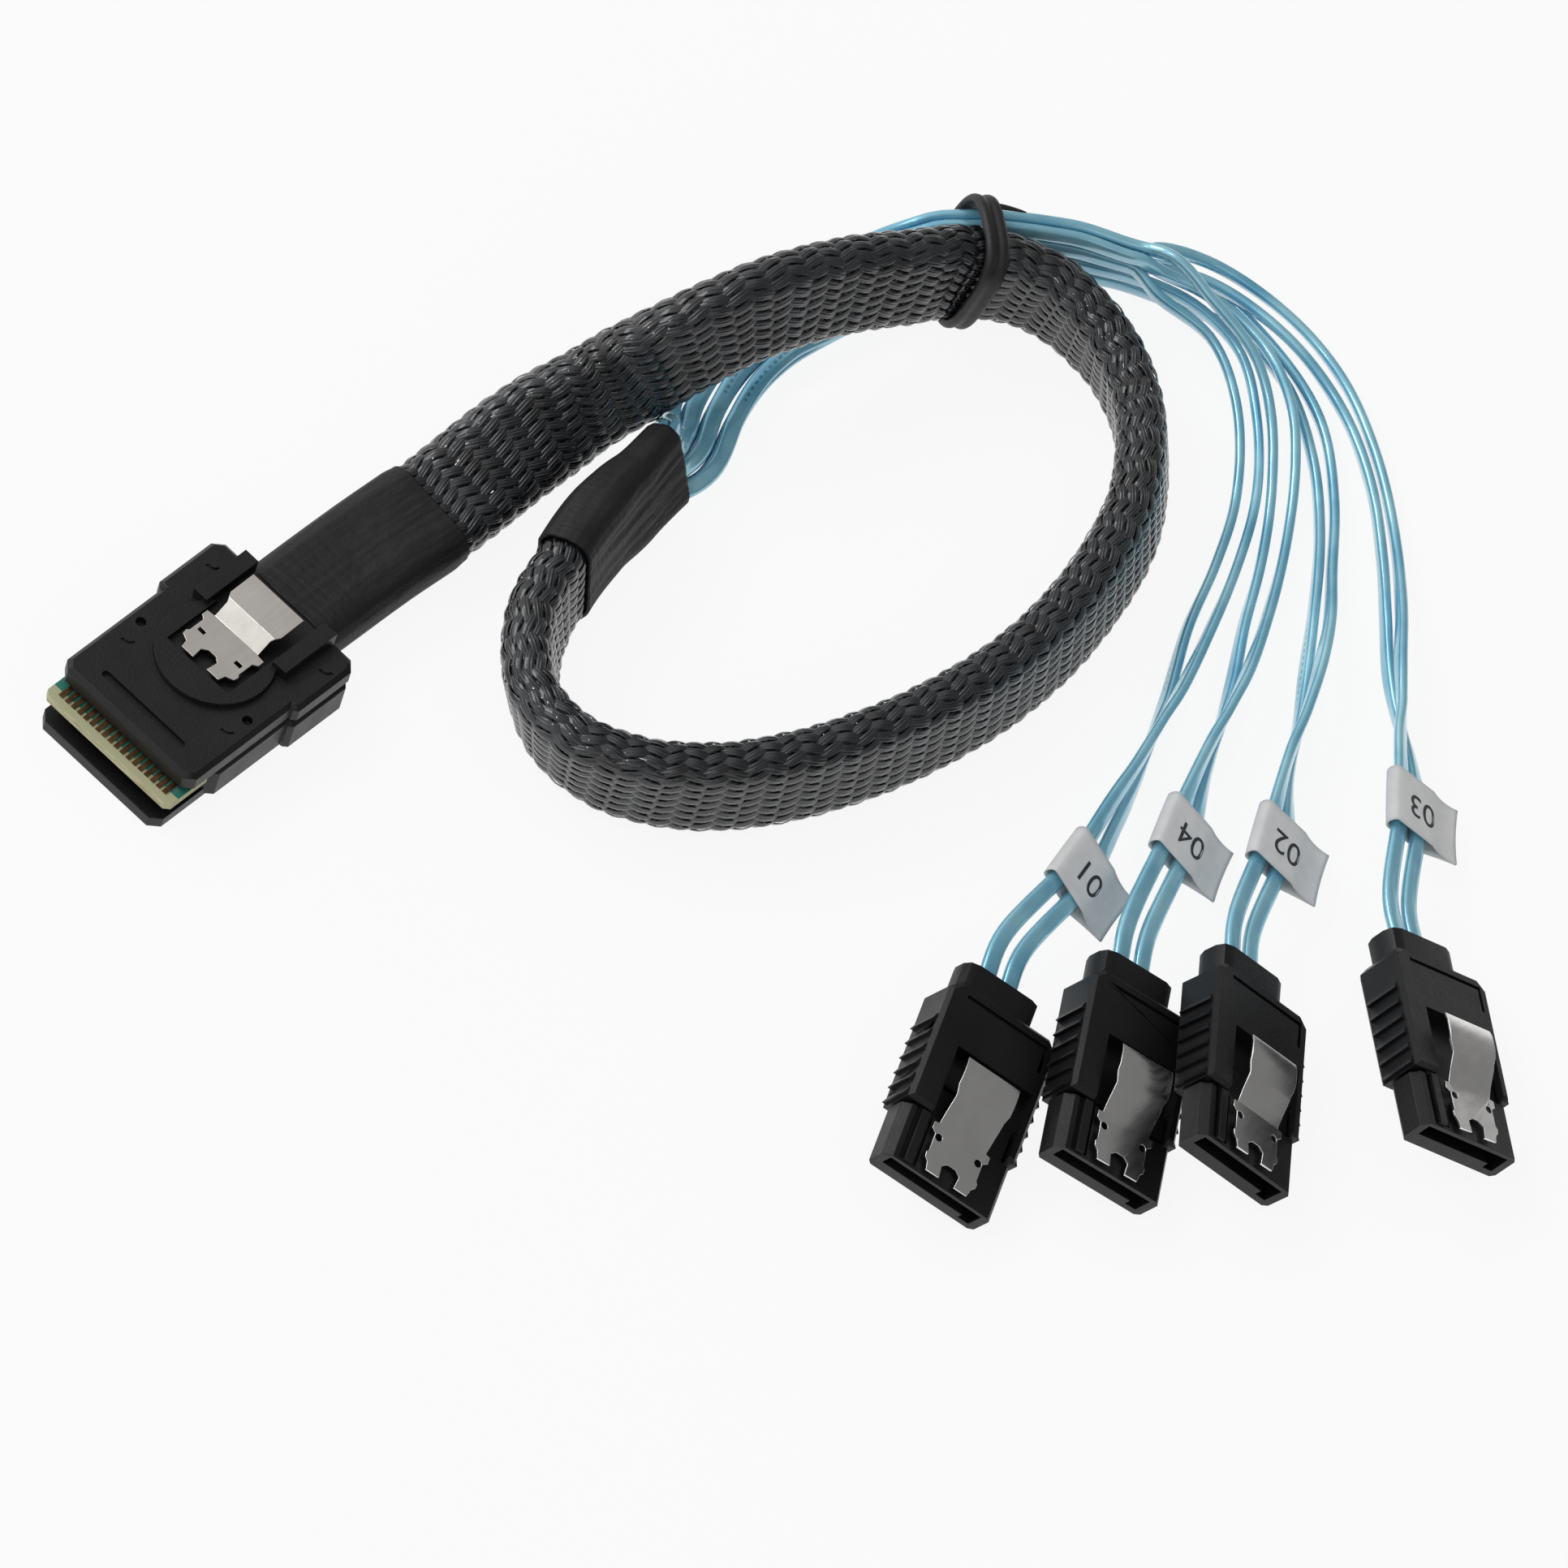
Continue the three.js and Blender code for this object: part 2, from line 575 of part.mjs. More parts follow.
function makeGrip() {
  const low = -gripHeight / 2;
  const high = gripHeight / 2;
  const c = gripCorner;
  const body = outline([
    [0, -gripHalf + c], [c, -gripHalf], [gripLength, -gripHalf], [gripLength, gripHalf], [c, gripHalf],
    [0, gripHalf - c],
  ]);
  let made = plate(body, low, high, gripChamfer);
  const pitch = (gripLength - ribStartU) / ribCount;
  for (const side of [-1, 1]) {
    for (let i = 0; i < ribCount; i += 1) {
      const u = ribStartU + i * pitch;
      const points = [[u, gripHalf - 0.3], [u + pitch - 0.3, gripHalf - 0.3], [u + pitch - 0.3, gripHalf + ribHeight]];
      const tooth = points.map(([x, y]) => [x, side * y]);
      made = made.add(plate(outline(side > 0 ? tooth : tooth.reverse()), low + 0.7, high - 0.7));
    }
  }
  const neck = roundedRectangle(2 * neckHalf, neckHeight, 1.4);
  const neckSolid = new THREE.ExtrudeGeometry(neck, { depth: neckLength + 1, bevelEnabled: false });
  neckSolid.rotateZ(Math.PI / 2);
  neckSolid.rotateY(Math.PI / 2);
  neckSolid.translate(-neckLength, neckOffsetY, 0);
  made = made.add(solid(neckSolid));
  // Window over the latch, seat of the shell's tenon, room for the leads
  const tenonTop = shellTopZ - 0.3 + fit;
  const tenonLow = shellTopZ - shellHeight + 0.4 - fit;
  const tenonHalf = shellHalf - tenonInset + fit;
  const seatRear = gripLength - tenonLength - fit;
  const windowFloor = tenonTop - 0.1;
  made = made.subtract(box(windowRearU, gripLength + through, windowLowY, windowHighY, windowFloor - 0.9, high + 5));
  made = made.subtract(box(seatRear, gripLength + through, -tenonHalf, tenonHalf, tenonLow, tenonTop));
  const slotHalfWidth = pairPitch / 2 + leadWidth / 2 + fit;
  const slotHalfHeight = leadHeight / 2 + fit;
  const slot = box(-neckLength - through, leadEndU + fit, -slotHalfWidth, slotHalfWidth, -slotHalfHeight, slotHalfHeight);
  made = made.subtract(slot.translate([0, neckOffsetY, 0]));
  // Groove along the rear edge, turned down one side
  const g = gripGrooveInset;
  const w = gripGrooveWidth;
  const farY = gripHalf - g;
  made = made.subtract(box(g, g + w, -gripHalf + 2.2, farY, high - gripGrooveDepth, high + through));
  made = made.subtract(box(g, g + gripGrooveDrop, farY - w, farY, high - gripGrooveDepth, high + through));
  return made;
}

function makeDriveShell() {
  const top = shellTopZ;
  const low = top - shellHeight;
  const rear = gripLength + fit;
  const c = 0.5;
  const face = outline([
    [-shellHalf, low + c], [-shellHalf + c, low], [shellHalf - c, low], [shellHalf, low + c],
    [shellHalf, top - c], [shellHalf - c, top], [-shellHalf + 0.9, top], [-shellHalf, top - 0.9],
  ]);
  const bodySolid = new THREE.ExtrudeGeometry(face, { depth: shellLength - rear, bevelEnabled: false });
  bodySolid.rotateY(Math.PI / 2);
  bodySolid.rotateX(Math.PI / 2);
  bodySolid.translate(rear, 0, 0);
  let made = solid(bodySolid);
  const tenonHalf = shellHalf - tenonInset;
  made = made.add(box(gripLength - tenonLength, rear + 0.5, -tenonHalf, tenonHalf, low + 0.4, top - 0.3));
  // One raised rail with a groove each side, beside the latch
  const railY = -shellHalf + 2.1;
  made = made.add(
    box(rear, shellLength - 0.4, railY, railY + shellRailWidth, top - 0.3, top + shellRailHeight),
  );
  for (const y of [railY - shellGroove, railY + shellRailWidth]) {
    made = made.subtract(box(rear - through, shellLength - 0.4, y, y + shellGroove, top - 0.45, top + 2));
  }
  // Mating slot with its key
  const slotTop = top - slotTopInset;
  const slotLow = slotTop - slotHeight;
  const bottom = shellLength - slotDepth;
  made = made.subtract(box(bottom, shellLength + through, -slotHalf, slotHalf, slotLow, slotTop));
  made = made.subtract(
    box(bottom, shellLength + through, slotHalf - keyWidth, slotHalf, slotLow - keyHeight, slotTop),
  );
  return made;
}

function makeContacts() {
  const high = shellTopZ - slotTopInset - skinFit;
  const low = high - contactHeight;
  const rear = shellLength - slotDepth + 0.3;
  const front = shellLength - contactSetback;
  const span = ((contactCount - 1) * contactPitch + contactWidth) / 2;
  let made = box(rear, rear + 0.8, -span, span, low, high);
  for (let i = 0; i < contactCount; i += 1) {
    const y = (i - (contactCount - 1) / 2) * contactPitch;
    made = made.add(box(rear + 0.7, front, y - contactWidth / 2, y + contactWidth / 2, low, high));
  }
  return made;
}

function makeDriveLatch() {
  const z = shellTopZ + 0.45;
  const front = shellLength - leafFrontSetback;
  const fold = front - leafLength;
  const slope = fold - tabCrestU;
  const shoulder = tabCrestU + tabShoulderShare * slope;
  const foot = tabCrestU + tabFootShare * slope;
  const shape = latchOutline(front, leafHalf, fold, tabHalf - 0.3, shoulder - 0.8, tabRearU, tabHalf);
  let made = bentSheet(shape, [
    [tabRearU - 1, z + tabRise - 0.5], [tabRearU + 0.8, z + tabRise], [tabCrestU, z + tabRise],
    [shoulder, z + tabRise - 0.5], [foot, z + 0.5], [fold, z], [front + 2, z],
  ]);
  for (const side of [-1, 1]) {
    const x = fold + 1.5;
    const y = side * (leafHalf - 1.1);
    const hole = new THREE.CylinderGeometry(dimpleWidth / 2, dimpleWidth / 2, 2, 10);
    hole.rotateX(Math.PI / 2);
    hole.translate(x, y, z);
    made = made.subtract(solid(hole));
  }
  return made.translate([0, leafOffsetY, 0]);
}

// A drive plug's group, turned into its place and let down until its lowest edge is on the surface.
function addDrivePlug(plug, number) {
  const group = new THREE.Group();
  group.rotation.set(radians(plug.roll), radians(plug.nose), radians(plug.yaw), "ZYX");
  addPiece(group, `drive_grip_${number}`, makeGrip(), blackPlastic);
  addPiece(group, `drive_shell_${number}`, makeDriveShell(), blackPlastic);
  addPiece(group, `drive_latch_${number}`, makeDriveLatch(), nickel);
  addPiece(group, `drive_contacts_${number}`, makeContacts(), gold);
  cable.add(group);
  group.updateMatrixWorld(true);
  const lowest = new THREE.Box3().setFromObject(group, true).min.z;
  group.position.set(plug.at[0], plug.at[1], -lowest);
  group.updateMatrixWorld(true);
  return group;
}

function alongside(station, across, up = 0) {
  const point = station.point.clone().addScaledVector(station.wide, across).addScaledVector(station.thick, up);
  return { ...station, point };
}

function placeInBundle(station, [column, row]) {
  const across = (column - (leadColumns - 1) / 2) * (leadWidth + leadGap);
  return alongside(station, across, (row - (leadRows - 1) / 2) * (leadHeight + leadGap));
}

const asRow = (station) => [...station.point.toArray(), THREE.MathUtils.radToDeg(station.turn)];

// The middle of a plug's two leads, from where they come together to inside the neck.
function pairRoute(plug, group) {
  const turn = -180 - plug.roll;
  const inNeck = [-8.5, -3, leadEndU].map((u) => {
    const point = group.localToWorld(new THREE.Vector3(u, neckOffsetY, 0));
    return [...point.toArray(), turn];
  });
  const route = [...plug.pair, ...inNeck];
  return { path: smoothRoute(route), rows: route.length };
}

function makeLead(index, bundle, pair) {
  const place = bundlePlace[index];
  const across = (index % 2 === 0 ? 0.5 : -0.5) * pairPitch;
  const inBundle = bundle.stations.map((s) => placeInBundle(s, place));
  const pairRows = Array.from({ length: pair.rows }, (_, i) => {
    return asRow(alongside(pair.path.stationAtWaypoint(i), across));
  });
  const last = inBundle.slice(-3);
  const free = smoothRoute([...last.map(asRow), ...fanRoutes[index], ...pairRows]);
  const inFree = stationsBetween(free, free.distanceTo(2), free.length, fanSteps);
  const w = leadWidth / 2;
  const h = leadHeight / 2;
  const section = outline([[w, 0], [w * 0.62, h], [-w * 0.62, h], [-w, 0], [-w * 0.62, -h], [w * 0.62, -h]]);
  return sweep(section, [...inBundle, ...inFree.slice(1)]);
}

// A shrink over the sleeve. Its last ring is drawn in to the mouth's size.
function makeShrink(stations, mouthWide, mouthThick) {
  const width = sleeveWidth + 2 * (shrinkGap + shrinkWall);
  const height = sleeveHeight + 2 * (shrinkGap + shrinkWall);
  const mouth = { ...stations[stations.length - 1], scaleWide: mouthWide / width, scaleThick: mouthThick / height };
  const shape = tubeShape(width, height, shrinkWall, sleeveRadius + shrinkGap + shrinkWall);
  return sweep(shape, [...stations.slice(0, -1), mouth]);
}

// The rubber band around trunk and bundle, square to the trunk, with its tail on top.
function makeTie(path, distance) {
  const s = path.station(distance);
  const trunkHalf = sleeveHeight / 2;
  const inner = trunkHalf + 3 * fit;
  const outer = trunkHalf + bundleHeight + 4 * fit;
  const width = sleeveWidth + 2 * (2 * fit + tieThickness);
  const depth = inner + outer + 2 * tieThickness;
  const shape = tubeShape(depth, width, tieThickness, 2.2);
  const ring = new THREE.ExtrudeGeometry(shape, { depth: tieWidth, curveSegments: 1, bevelEnabled: false });
  ring.translate((inner - outer) / 2, 0, -tieWidth / 2);
  const level = new THREE.Vector3(s.along.y, -s.along.x, 0).normalize();
  const up = new THREE.Vector3().crossVectors(level, s.along);
  const turn = new THREE.Matrix4().makeBasis(level, up, s.along.clone().negate()).setPosition(s.point);
  const tail = new THREE.BufferGeometry().copy(
    new THREE.ExtrudeGeometry(outline([[0, 0.2], [-tieWidth, 0.2], [-tieWidth - tieTailLength, 0.9], [0, 1.1]]), {
      depth: 1.6,
      bevelEnabled: false,
    }),
  );
  tail.rotateY(-Math.PI / 2);
  tail.translate(-3, width / 2 - tieThickness, -tieWidth / 2);
  const made = solid(ring).add(solid(tail));
  const geometry = geometryOf(made).applyMatrix4(turn);
  return solid(geometry);
}

function makeLabel(pair) {
  const middle = pair.path.stationAtWaypoint(pair.rows - 4);
  const width = pairPitch + leadWidth + 2 * labelSlack;
  const height = leadHeight + 2 * labelSlack;
  const shape = tubeShape(width + 2 * labelSheet, height + 2 * labelSheet, labelSheet, 0.8);
  const wrap = solid(new THREE.ExtrudeGeometry(shape, { depth: labelLength, curveSegments: 1, bevelEnabled: false }));
  const edge = width / 2 + labelSheet / 2;
  const tail = box(edge, edge + labelTail, -labelSheet, labelSheet, 0, labelLength);
  const geometry = geometryOf(wrap.add(tail).translate([0, 0, -labelLength / 2]));
  const basis = new THREE.Matrix4().makeBasis(middle.wide, middle.thick, middle.along.clone().negate());
  return solid(geometry.applyMatrix4(basis.setPosition(middle.point)));
}

addPiece(cable, "host_top_shell", makeHostTopShell(), blackPlastic);
addPiece(cable, "host_bottom_shell", makeHostBottomShell(), blackPlastic);
addPiece(cable, "paddle_card", makeCard(), boardGreen);
addPiece(cable, "contact_pads_top", makePads(1), gold);
addPiece(cable, "contact_pads_bottom", makePads(-1), gold);
addPiece(cable, "host_latch", makeHostLatch(), nickel);
addPiece(cable, "strain_block", makeStrainBlock(), potting);

const route = smoothRoute([...trunkRoute, ...bundleRoute]);
const trunkLength = route.distanceTo(trunkRoute.length - 1);
const step = trunkLength / trunkSteps;
const trunkStations = stationsBetween(route, 0, trunkLength, trunkSteps);
const underTrunk = stationsBetween(route, trunkLength, route.length, bundleSteps);
const bundle = { stations: [...trunkStations, ...underTrunk.slice(1)] };

const hostShrinkStart = -hostRearX + cardRearX;
const hostShrinkEnd = route.station(hostShrinkStart + hostShrinkLength);
const sleeveRear = trunkStations.slice(sleeveRearSteps, sleeveRearSteps + 3);
const sleeveFront = trunkStations.slice(sleeveRearSteps + 3, trunkSteps);
const sleeveStations = [...sleeveRear, hostShrinkEnd, ...sleeveFront];
const sleeve = sweep(tubeShape(sleeveWidth, sleeveHeight, sleeveWall, sleeveRadius), sleeveStations);
addPiece(cable, "braided_sleeve", sleeve, blackSleeve);
const hostShrinkStations = [route.station(hostShrinkStart), ...sleeveRear, hostShrinkEnd];
const hostShrinkWidth = sleeveWidth + 2 * (shrinkGap + shrinkWall);
const hostShrinkHeight = sleeveHeight + 2 * (shrinkGap + shrinkWall);
addPiece(cable, "host_heat_shrink", makeShrink(hostShrinkStations, hostShrinkWidth, hostShrinkHeight), blackShrink);
const endShrink = makeShrink(trunkStations.slice(-endShrinkSteps - 1), mouthWidth, mouthHeight);
addPiece(cable, "end_heat_shrink", endShrink, blackShrink);
addPiece(cable, "bundle_tie", makeTie(route, route.distanceTo(tieWaypoint)), blackRubber);

drivePlugs.forEach((plug, i) => {
  const group = addDrivePlug(plug, i + 1);
  const pair = pairRoute(plug, group);
  addPiece(cable, `lead_${2 * i + 1}`, makeLead(2 * i, bundle, pair), leadBlue);
  addPiece(cable, `lead_${2 * i + 2}`, makeLead(2 * i + 1, bundle, pair), leadBlue);
  addPiece(cable, `label_${i + 1}`, makeLabel(pair), paperWhite);
});

export default cable;
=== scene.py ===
from math import radians, sin, cos, pi

import bmesh
import bpy
import numpy as np
from mathutils import Matrix, Vector


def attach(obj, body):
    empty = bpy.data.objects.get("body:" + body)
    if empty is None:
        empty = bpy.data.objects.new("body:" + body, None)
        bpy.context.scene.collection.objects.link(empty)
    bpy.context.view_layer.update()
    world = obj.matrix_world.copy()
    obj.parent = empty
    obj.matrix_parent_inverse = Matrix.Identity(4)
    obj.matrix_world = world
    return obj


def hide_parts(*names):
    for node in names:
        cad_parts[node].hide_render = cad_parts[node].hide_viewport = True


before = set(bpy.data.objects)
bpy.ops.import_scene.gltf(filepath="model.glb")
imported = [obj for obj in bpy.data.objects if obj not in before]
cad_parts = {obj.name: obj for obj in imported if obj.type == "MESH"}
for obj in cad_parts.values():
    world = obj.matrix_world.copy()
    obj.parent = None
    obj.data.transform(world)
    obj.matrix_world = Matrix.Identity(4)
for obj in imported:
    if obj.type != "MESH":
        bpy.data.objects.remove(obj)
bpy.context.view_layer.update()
scene = bpy.context.scene
mm = 0.001

# camera, at the photograph's angle, far enough off to be nearly free of perspective
cameraSetup = {
    "middle": (-0.0371, 0.0493, 0.0077),
    "right": (-0.676, 0.7086, 0.198),
    "up": (-0.5227, -0.6507, 0.55),
    "away": 2.0,
    "fieldWide": 0.1637,
}


def makeCamera(c):
    right = Vector(c["right"]).normalized()
    back = right.cross(Vector(c["up"])).normalized()
    up = back.cross(right)
    data = bpy.data.cameras.new("camera")
    data.sensor_width = 36
    data.lens = 36 * c["away"] / c["fieldWide"]
    data.clip_end = 20
    obj = bpy.data.objects.new("camera", data)
    scene.collection.objects.link(obj)
    turn = Matrix((right, up, back)).transposed().to_4x4()
    obj.matrix_world = Matrix.Translation(Vector(c["middle"]) + back * c["away"]) @ turn
    return obj


scene.camera = makeCamera(cameraSetup)
print("camera ready")

perSpan = 24  # samples of a route between two of its rows

# routes in metres, last number the turn of the flat side in degrees
trunkRoute = [
    (-0.005, 0, 0.0042, 0), (-0.0107, 0, 0.0042, 0), (-0.018, 0, 0.0042, 0),
    (-0.0253, 0.0001, 0.0042, 0), (-0.036, 0.0006, 0.0045, -6), (-0.0469, 0.001, 0.0062, -32),
    (-0.0573, 0.0025, 0.0083, -61), (-0.0654, 0.0054, 0.0126, -69), (-0.074, 0.0079, 0.0144, -73),
    (-0.084, 0.0108, 0.0132, -77), (-0.092, 0.014, 0.0115, -81), (-0.0996, 0.0172, 0.0094, -86),
    (-0.1046, 0.023, 0.0082, -94), (-0.1059, 0.0289, 0.0072, -100), (-0.1051, 0.035, 0.0066, -103),
    (-0.1019, 0.0411, 0.0064, -104), (-0.0967, 0.0462, 0.0064, -104), (-0.0905, 0.0501, 0.0064, -103),
    (-0.078, 0.0538, 0.0063, -100), (-0.067, 0.0548, 0.0063, -98), (-0.0577, 0.054, 0.0063, -97),
    (-0.0488, 0.0521, 0.0063, -96), (-0.0394, 0.0487, 0.0063, -94), (-0.0313, 0.0439, 0.0063, -90),
    (-0.0255, 0.0376, 0.0064, -84), (-0.0233, 0.0312, 0.0065, -76), (-0.0245, 0.025, 0.0066, -72),
    (-0.0302, 0.0192, 0.0066, -74), (-0.0384, 0.0158, 0.0064, -80), (-0.0458, 0.014, 0.0065, -78),
    (-0.0514, 0.0136, 0.0065, -70), (-0.0576, 0.0129, 0.0064, -60),
]
bundleRoute = [
    (-0.0631, 0.0116, 0.0034, -23), (-0.0686, 0.0089, 0.0022, -7), (-0.075, 0.0068, 0.0019, -2),
    (-0.0815, 0.0062, 0.002, -3), (-0.0885, 0.0075, 0.0032, -20), (-0.095, 0.0099, 0.0056, -54),
    (-0.0992, 0.0119, 0.0083, -78), (-0.1025, 0.014, 0.0088, -87), (-0.1105, 0.0203, 0.0077, -93),
    (-0.116, 0.0264, 0.0065, -102),
]
fanRoutes = [
    [
        (-0.1156, 0.031, 0.0064, -108), (-0.1173, 0.0381, 0.0046, -116), (-0.1142, 0.0452, 0.003, -108),
        (-0.1062, 0.0529, 0.0018, -98), (-0.0979, 0.0575, 0.0015, -90), (-0.09, 0.0609, 0.0015, -80),
    ],
    [
        (-0.1192, 0.0335, 0.0044, -110), (-0.1199, 0.0405, 0.0026, -116), (-0.1155, 0.0475, 0.0015, -106),
        (-0.1081, 0.0542, 0.0015, -98), (-0.1, 0.0589, 0.0018, -90), (-0.091, 0.063, 0.003, -76),
    ],
    [
        (-0.1175, 0.0305, 0.0111, -108), (-0.1182, 0.0359, 0.009, -114), (-0.1183, 0.0431, 0.0064, -116),
        (-0.1156, 0.0487, 0.004, -104), (-0.1094, 0.0551, 0.002, -98), (-0.1018, 0.0606, 0.0015, -90),
        (-0.0948, 0.0647, 0.0015, -80),
    ],
    [
        (-0.1171, 0.0297, 0.008, -104), (-0.1199, 0.0345, 0.0066, -110), (-0.1205, 0.0429, 0.0056, -116),
        (-0.1181, 0.0494, 0.0042, -106), (-0.1137, 0.0545, 0.0026, -98), (-0.106, 0.0605, 0.0016, -92),
        (-0.0965, 0.0661, 0.0028, -78),
    ],
    [
        (-0.1184, 0.03, 0.0023, -108), (-0.1223, 0.0379, 0.0015, -114), (-0.1217, 0.046, 0.0013, -108),
        (-0.1168, 0.0546, 0.0013, -100), (-0.1102, 0.0617, 0.0014, -94), (-0.103, 0.0676, 0.0015, -86),
    ],
    [
        (-0.119, 0.025, 0.0026, -100), (-0.1236, 0.0308, 0.0022, -110), (-0.1239, 0.0423, 0.0017, -116),
        (-0.121, 0.0519, 0.0014, -104), (-0.1145, 0.0599, 0.0014, -97), (-0.1075, 0.0659, 0.0018, -90),
        (-0.1014, 0.0708, 0.0031, -78),
    ],
    [
        (-0.1225, 0.0326, 0.0046, -110), (-0.1245, 0.0429, 0.004, -116), (-0.1236, 0.0525, 0.002, -106),
        (-0.1194, 0.0607, 0.0015, -98), (-0.1131, 0.0683, 0.0015, -92), (-0.1079, 0.0736, 0.0015, -84),
    ],
    [
        (-0.1195, 0.027, 0.0072, -102), (-0.1246, 0.0319, 0.0049, -110), (-0.1274, 0.0414, 0.003, -118),
        (-0.1266, 0.0502, 0.0018, -110), (-0.1223, 0.0591, 0.0015, -102), (-0.1162, 0.0673, 0.0016, -96),
        (-0.1087, 0.0748, 0.0029, -82),
    ],
]

# how the leads lie in the flat bundle: place across, and layer
bundlePlace = [(1, 1), (2, 1), (0, 0), (0, 1), (3, 1), (3, 0), (2, 0), (1, 0)]
leadSize = {"wide": 2 * mm, "thick": 1.1 * mm, "gap": 0.3 * mm, "pairPitch": 2.8 * mm, "step": 1.1 * mm}
drivePlugs = [
    {
        "at": (-0.0341, 0.0832, 0.00663), "yaw": 26.1, "nose": 5.1, "roll": -24.8, "number": "01",
        "pair": [
            (-0.0819, 0.0661, 0.0027, -66), (-0.0765, 0.0683, 0.0028, -84), (-0.0708, 0.0707, 0.0033, -102),
            (-0.0644, 0.073, 0.0044, -120), (-0.0549, 0.0763, 0.006, -142),
        ],
    },
    {
        "at": (-0.0472, 0.0911, 0.006243), "yaw": 34.1, "nose": 2.4, "roll": -28.4, "number": "04",
        "pair": [
            (-0.089, 0.0692, 0.0027, -66), (-0.0839, 0.0717, 0.0028, -84), (-0.0784, 0.0742, 0.0033, -104),
            (-0.0669, 0.08, 0.0056, -144),
        ],
    },
    {
        "at": (-0.0573, 0.0983, 0.006118), "yaw": 38.9, "nose": -2, "roll": -36, "number": "02",
        "pair": [
            (-0.096, 0.0735, 0.0027, -66), (-0.0906, 0.077, 0.0027, -84), (-0.0846, 0.0804, 0.0032, -104),
            (-0.0744, 0.0871, 0.0054, -146),
        ],
    },
    {
        "at": (-0.0743, 0.1082, 0.005943), "yaw": 52.5, "nose": -2, "roll": -33.4, "number": "03",
        "pair": [
            (-0.103, 0.0791, 0.0027, -76), (-0.0996, 0.0829, 0.0027, -92), (-0.0958, 0.0869, 0.0037, -122),
            (-0.0892, 0.0932, 0.0054, -144),
        ],
    },
]


def crossDirections(along, turn):
    level = np.stack([along[:, 1], -along[:, 0], np.zeros(len(along))], axis=1)
    level /= np.linalg.norm(level, axis=1)[:, None]
    up = np.cross(level, along)
    c, s = np.cos(turn)[:, None], np.sin(turn)[:, None]
    return level * c + up * s, up * c - level * s


# smooth curve through the rows, closely sampled
def readRoute(rows):
    points = np.array([r[:3] for r in rows], float)
    turns = np.radians([r[3] for r in rows])
    ends = np.vstack([2 * points[0] - points[1], points, 2 * points[-1] - points[-2]])
    place, along, turn = [], [], []
    for i in range(len(rows) - 1):
        a, b, c, d = ends[i : i + 4]
        ab, bc, cd = (np.linalg.norm(q - p) ** 0.5 for p, q in ((a, b), (b, c), (c, d)))
        leave = ((b - a) / ab - (c - a) / (ab + bc) + (c - b) / bc) * bc
        reach = ((c - b) / bc - (d - b) / (bc + cd) + (d - c) / cd) * bc
        last = i == len(rows) - 2
        t = np.linspace(0, 1, perSpan + 1)[: None if last else -1, None]
        cubic = 2 * b - 2 * c + leave + reach
        square = 3 * c - 3 * b - 2 * leave - reach
        place.append(b + leave * t + square * t**2 + cubic * t**3)
        along.append(leave + 2 * square * t + 3 * cubic * t**2)
        ease = (t * t * (3 - 2 * t))[:, 0]
        turn.append(turns[i] + (turns[i + 1] - turns[i]) * ease)
    place, along, turn = np.vstack(place), np.vstack(along), np.concatenate(turn)
    along /= np.linalg.norm(along, axis=1)[:, None]
    wide, thick = crossDirections(along, turn)
    far = np.concatenate([[0], np.cumsum(np.linalg.norm(np.diff(place, axis=0), axis=1))])
    return {"point": place, "along": along, "wide": wide, "thick": thick, "turn": turn, "far": far}


def cutRoute(route, start, end, count):
    far = np.linspace(start, end, count + 1)
    made = {"far": far, "turn": np.interp(far, route["far"], route["turn"])}
    for key in ("point", "along", "wide", "thick"):
        made[key] = np.stack([np.interp(far, route["far"], route[key][:, k]) for k in range(3)], axis=1)
    for key in ("along", "wide", "thick"):
        made[key] /= np.linalg.norm(made[key], axis=1)[:, None]
    return made


def beside(route, across, up=0.0):
    made = dict(route)
    made["point"] = route["point"] + route["wide"] * across + route["thick"] * up
    return made


def asRows(route, picks):
    return [(*route["point"][i], np.degrees(route["turn"][i])) for i in picks]


def plugMatrix(plug):
    turn = Matrix.Rotation(radians(plug["yaw"]), 4, "Z") @ Matrix.Rotation(radians(plug["nose"]), 4, "Y")
    return Matrix.Translation(plug["at"]) @ turn @ Matrix.Rotation(radians(plug["roll"]), 4, "X")


wholeRoute = readRoute(trunkRoute + bundleRoute)
trunkLength = wholeRoute["far"][(len(trunkRoute) - 1) * perSpan]
wholeLength = wholeRoute["far"][-1]


neckRun = {"below": -1 * mm, "along": (-8.5 * mm, -3 * mm, 3.6 * mm)}  # the leads' way into a drive plug


def pairPath(plug):
    place = plugMatrix(plug)
    neck = [(*(place @ Vector((u, neckRun["below"], 0))), -180 - plug["roll"]) for u in neckRun["along"]]
    rows = plug["pair"] + neck
    return readRoute(rows), len(rows)


pairPaths = [pairPath(plug) for plug in drivePlugs]


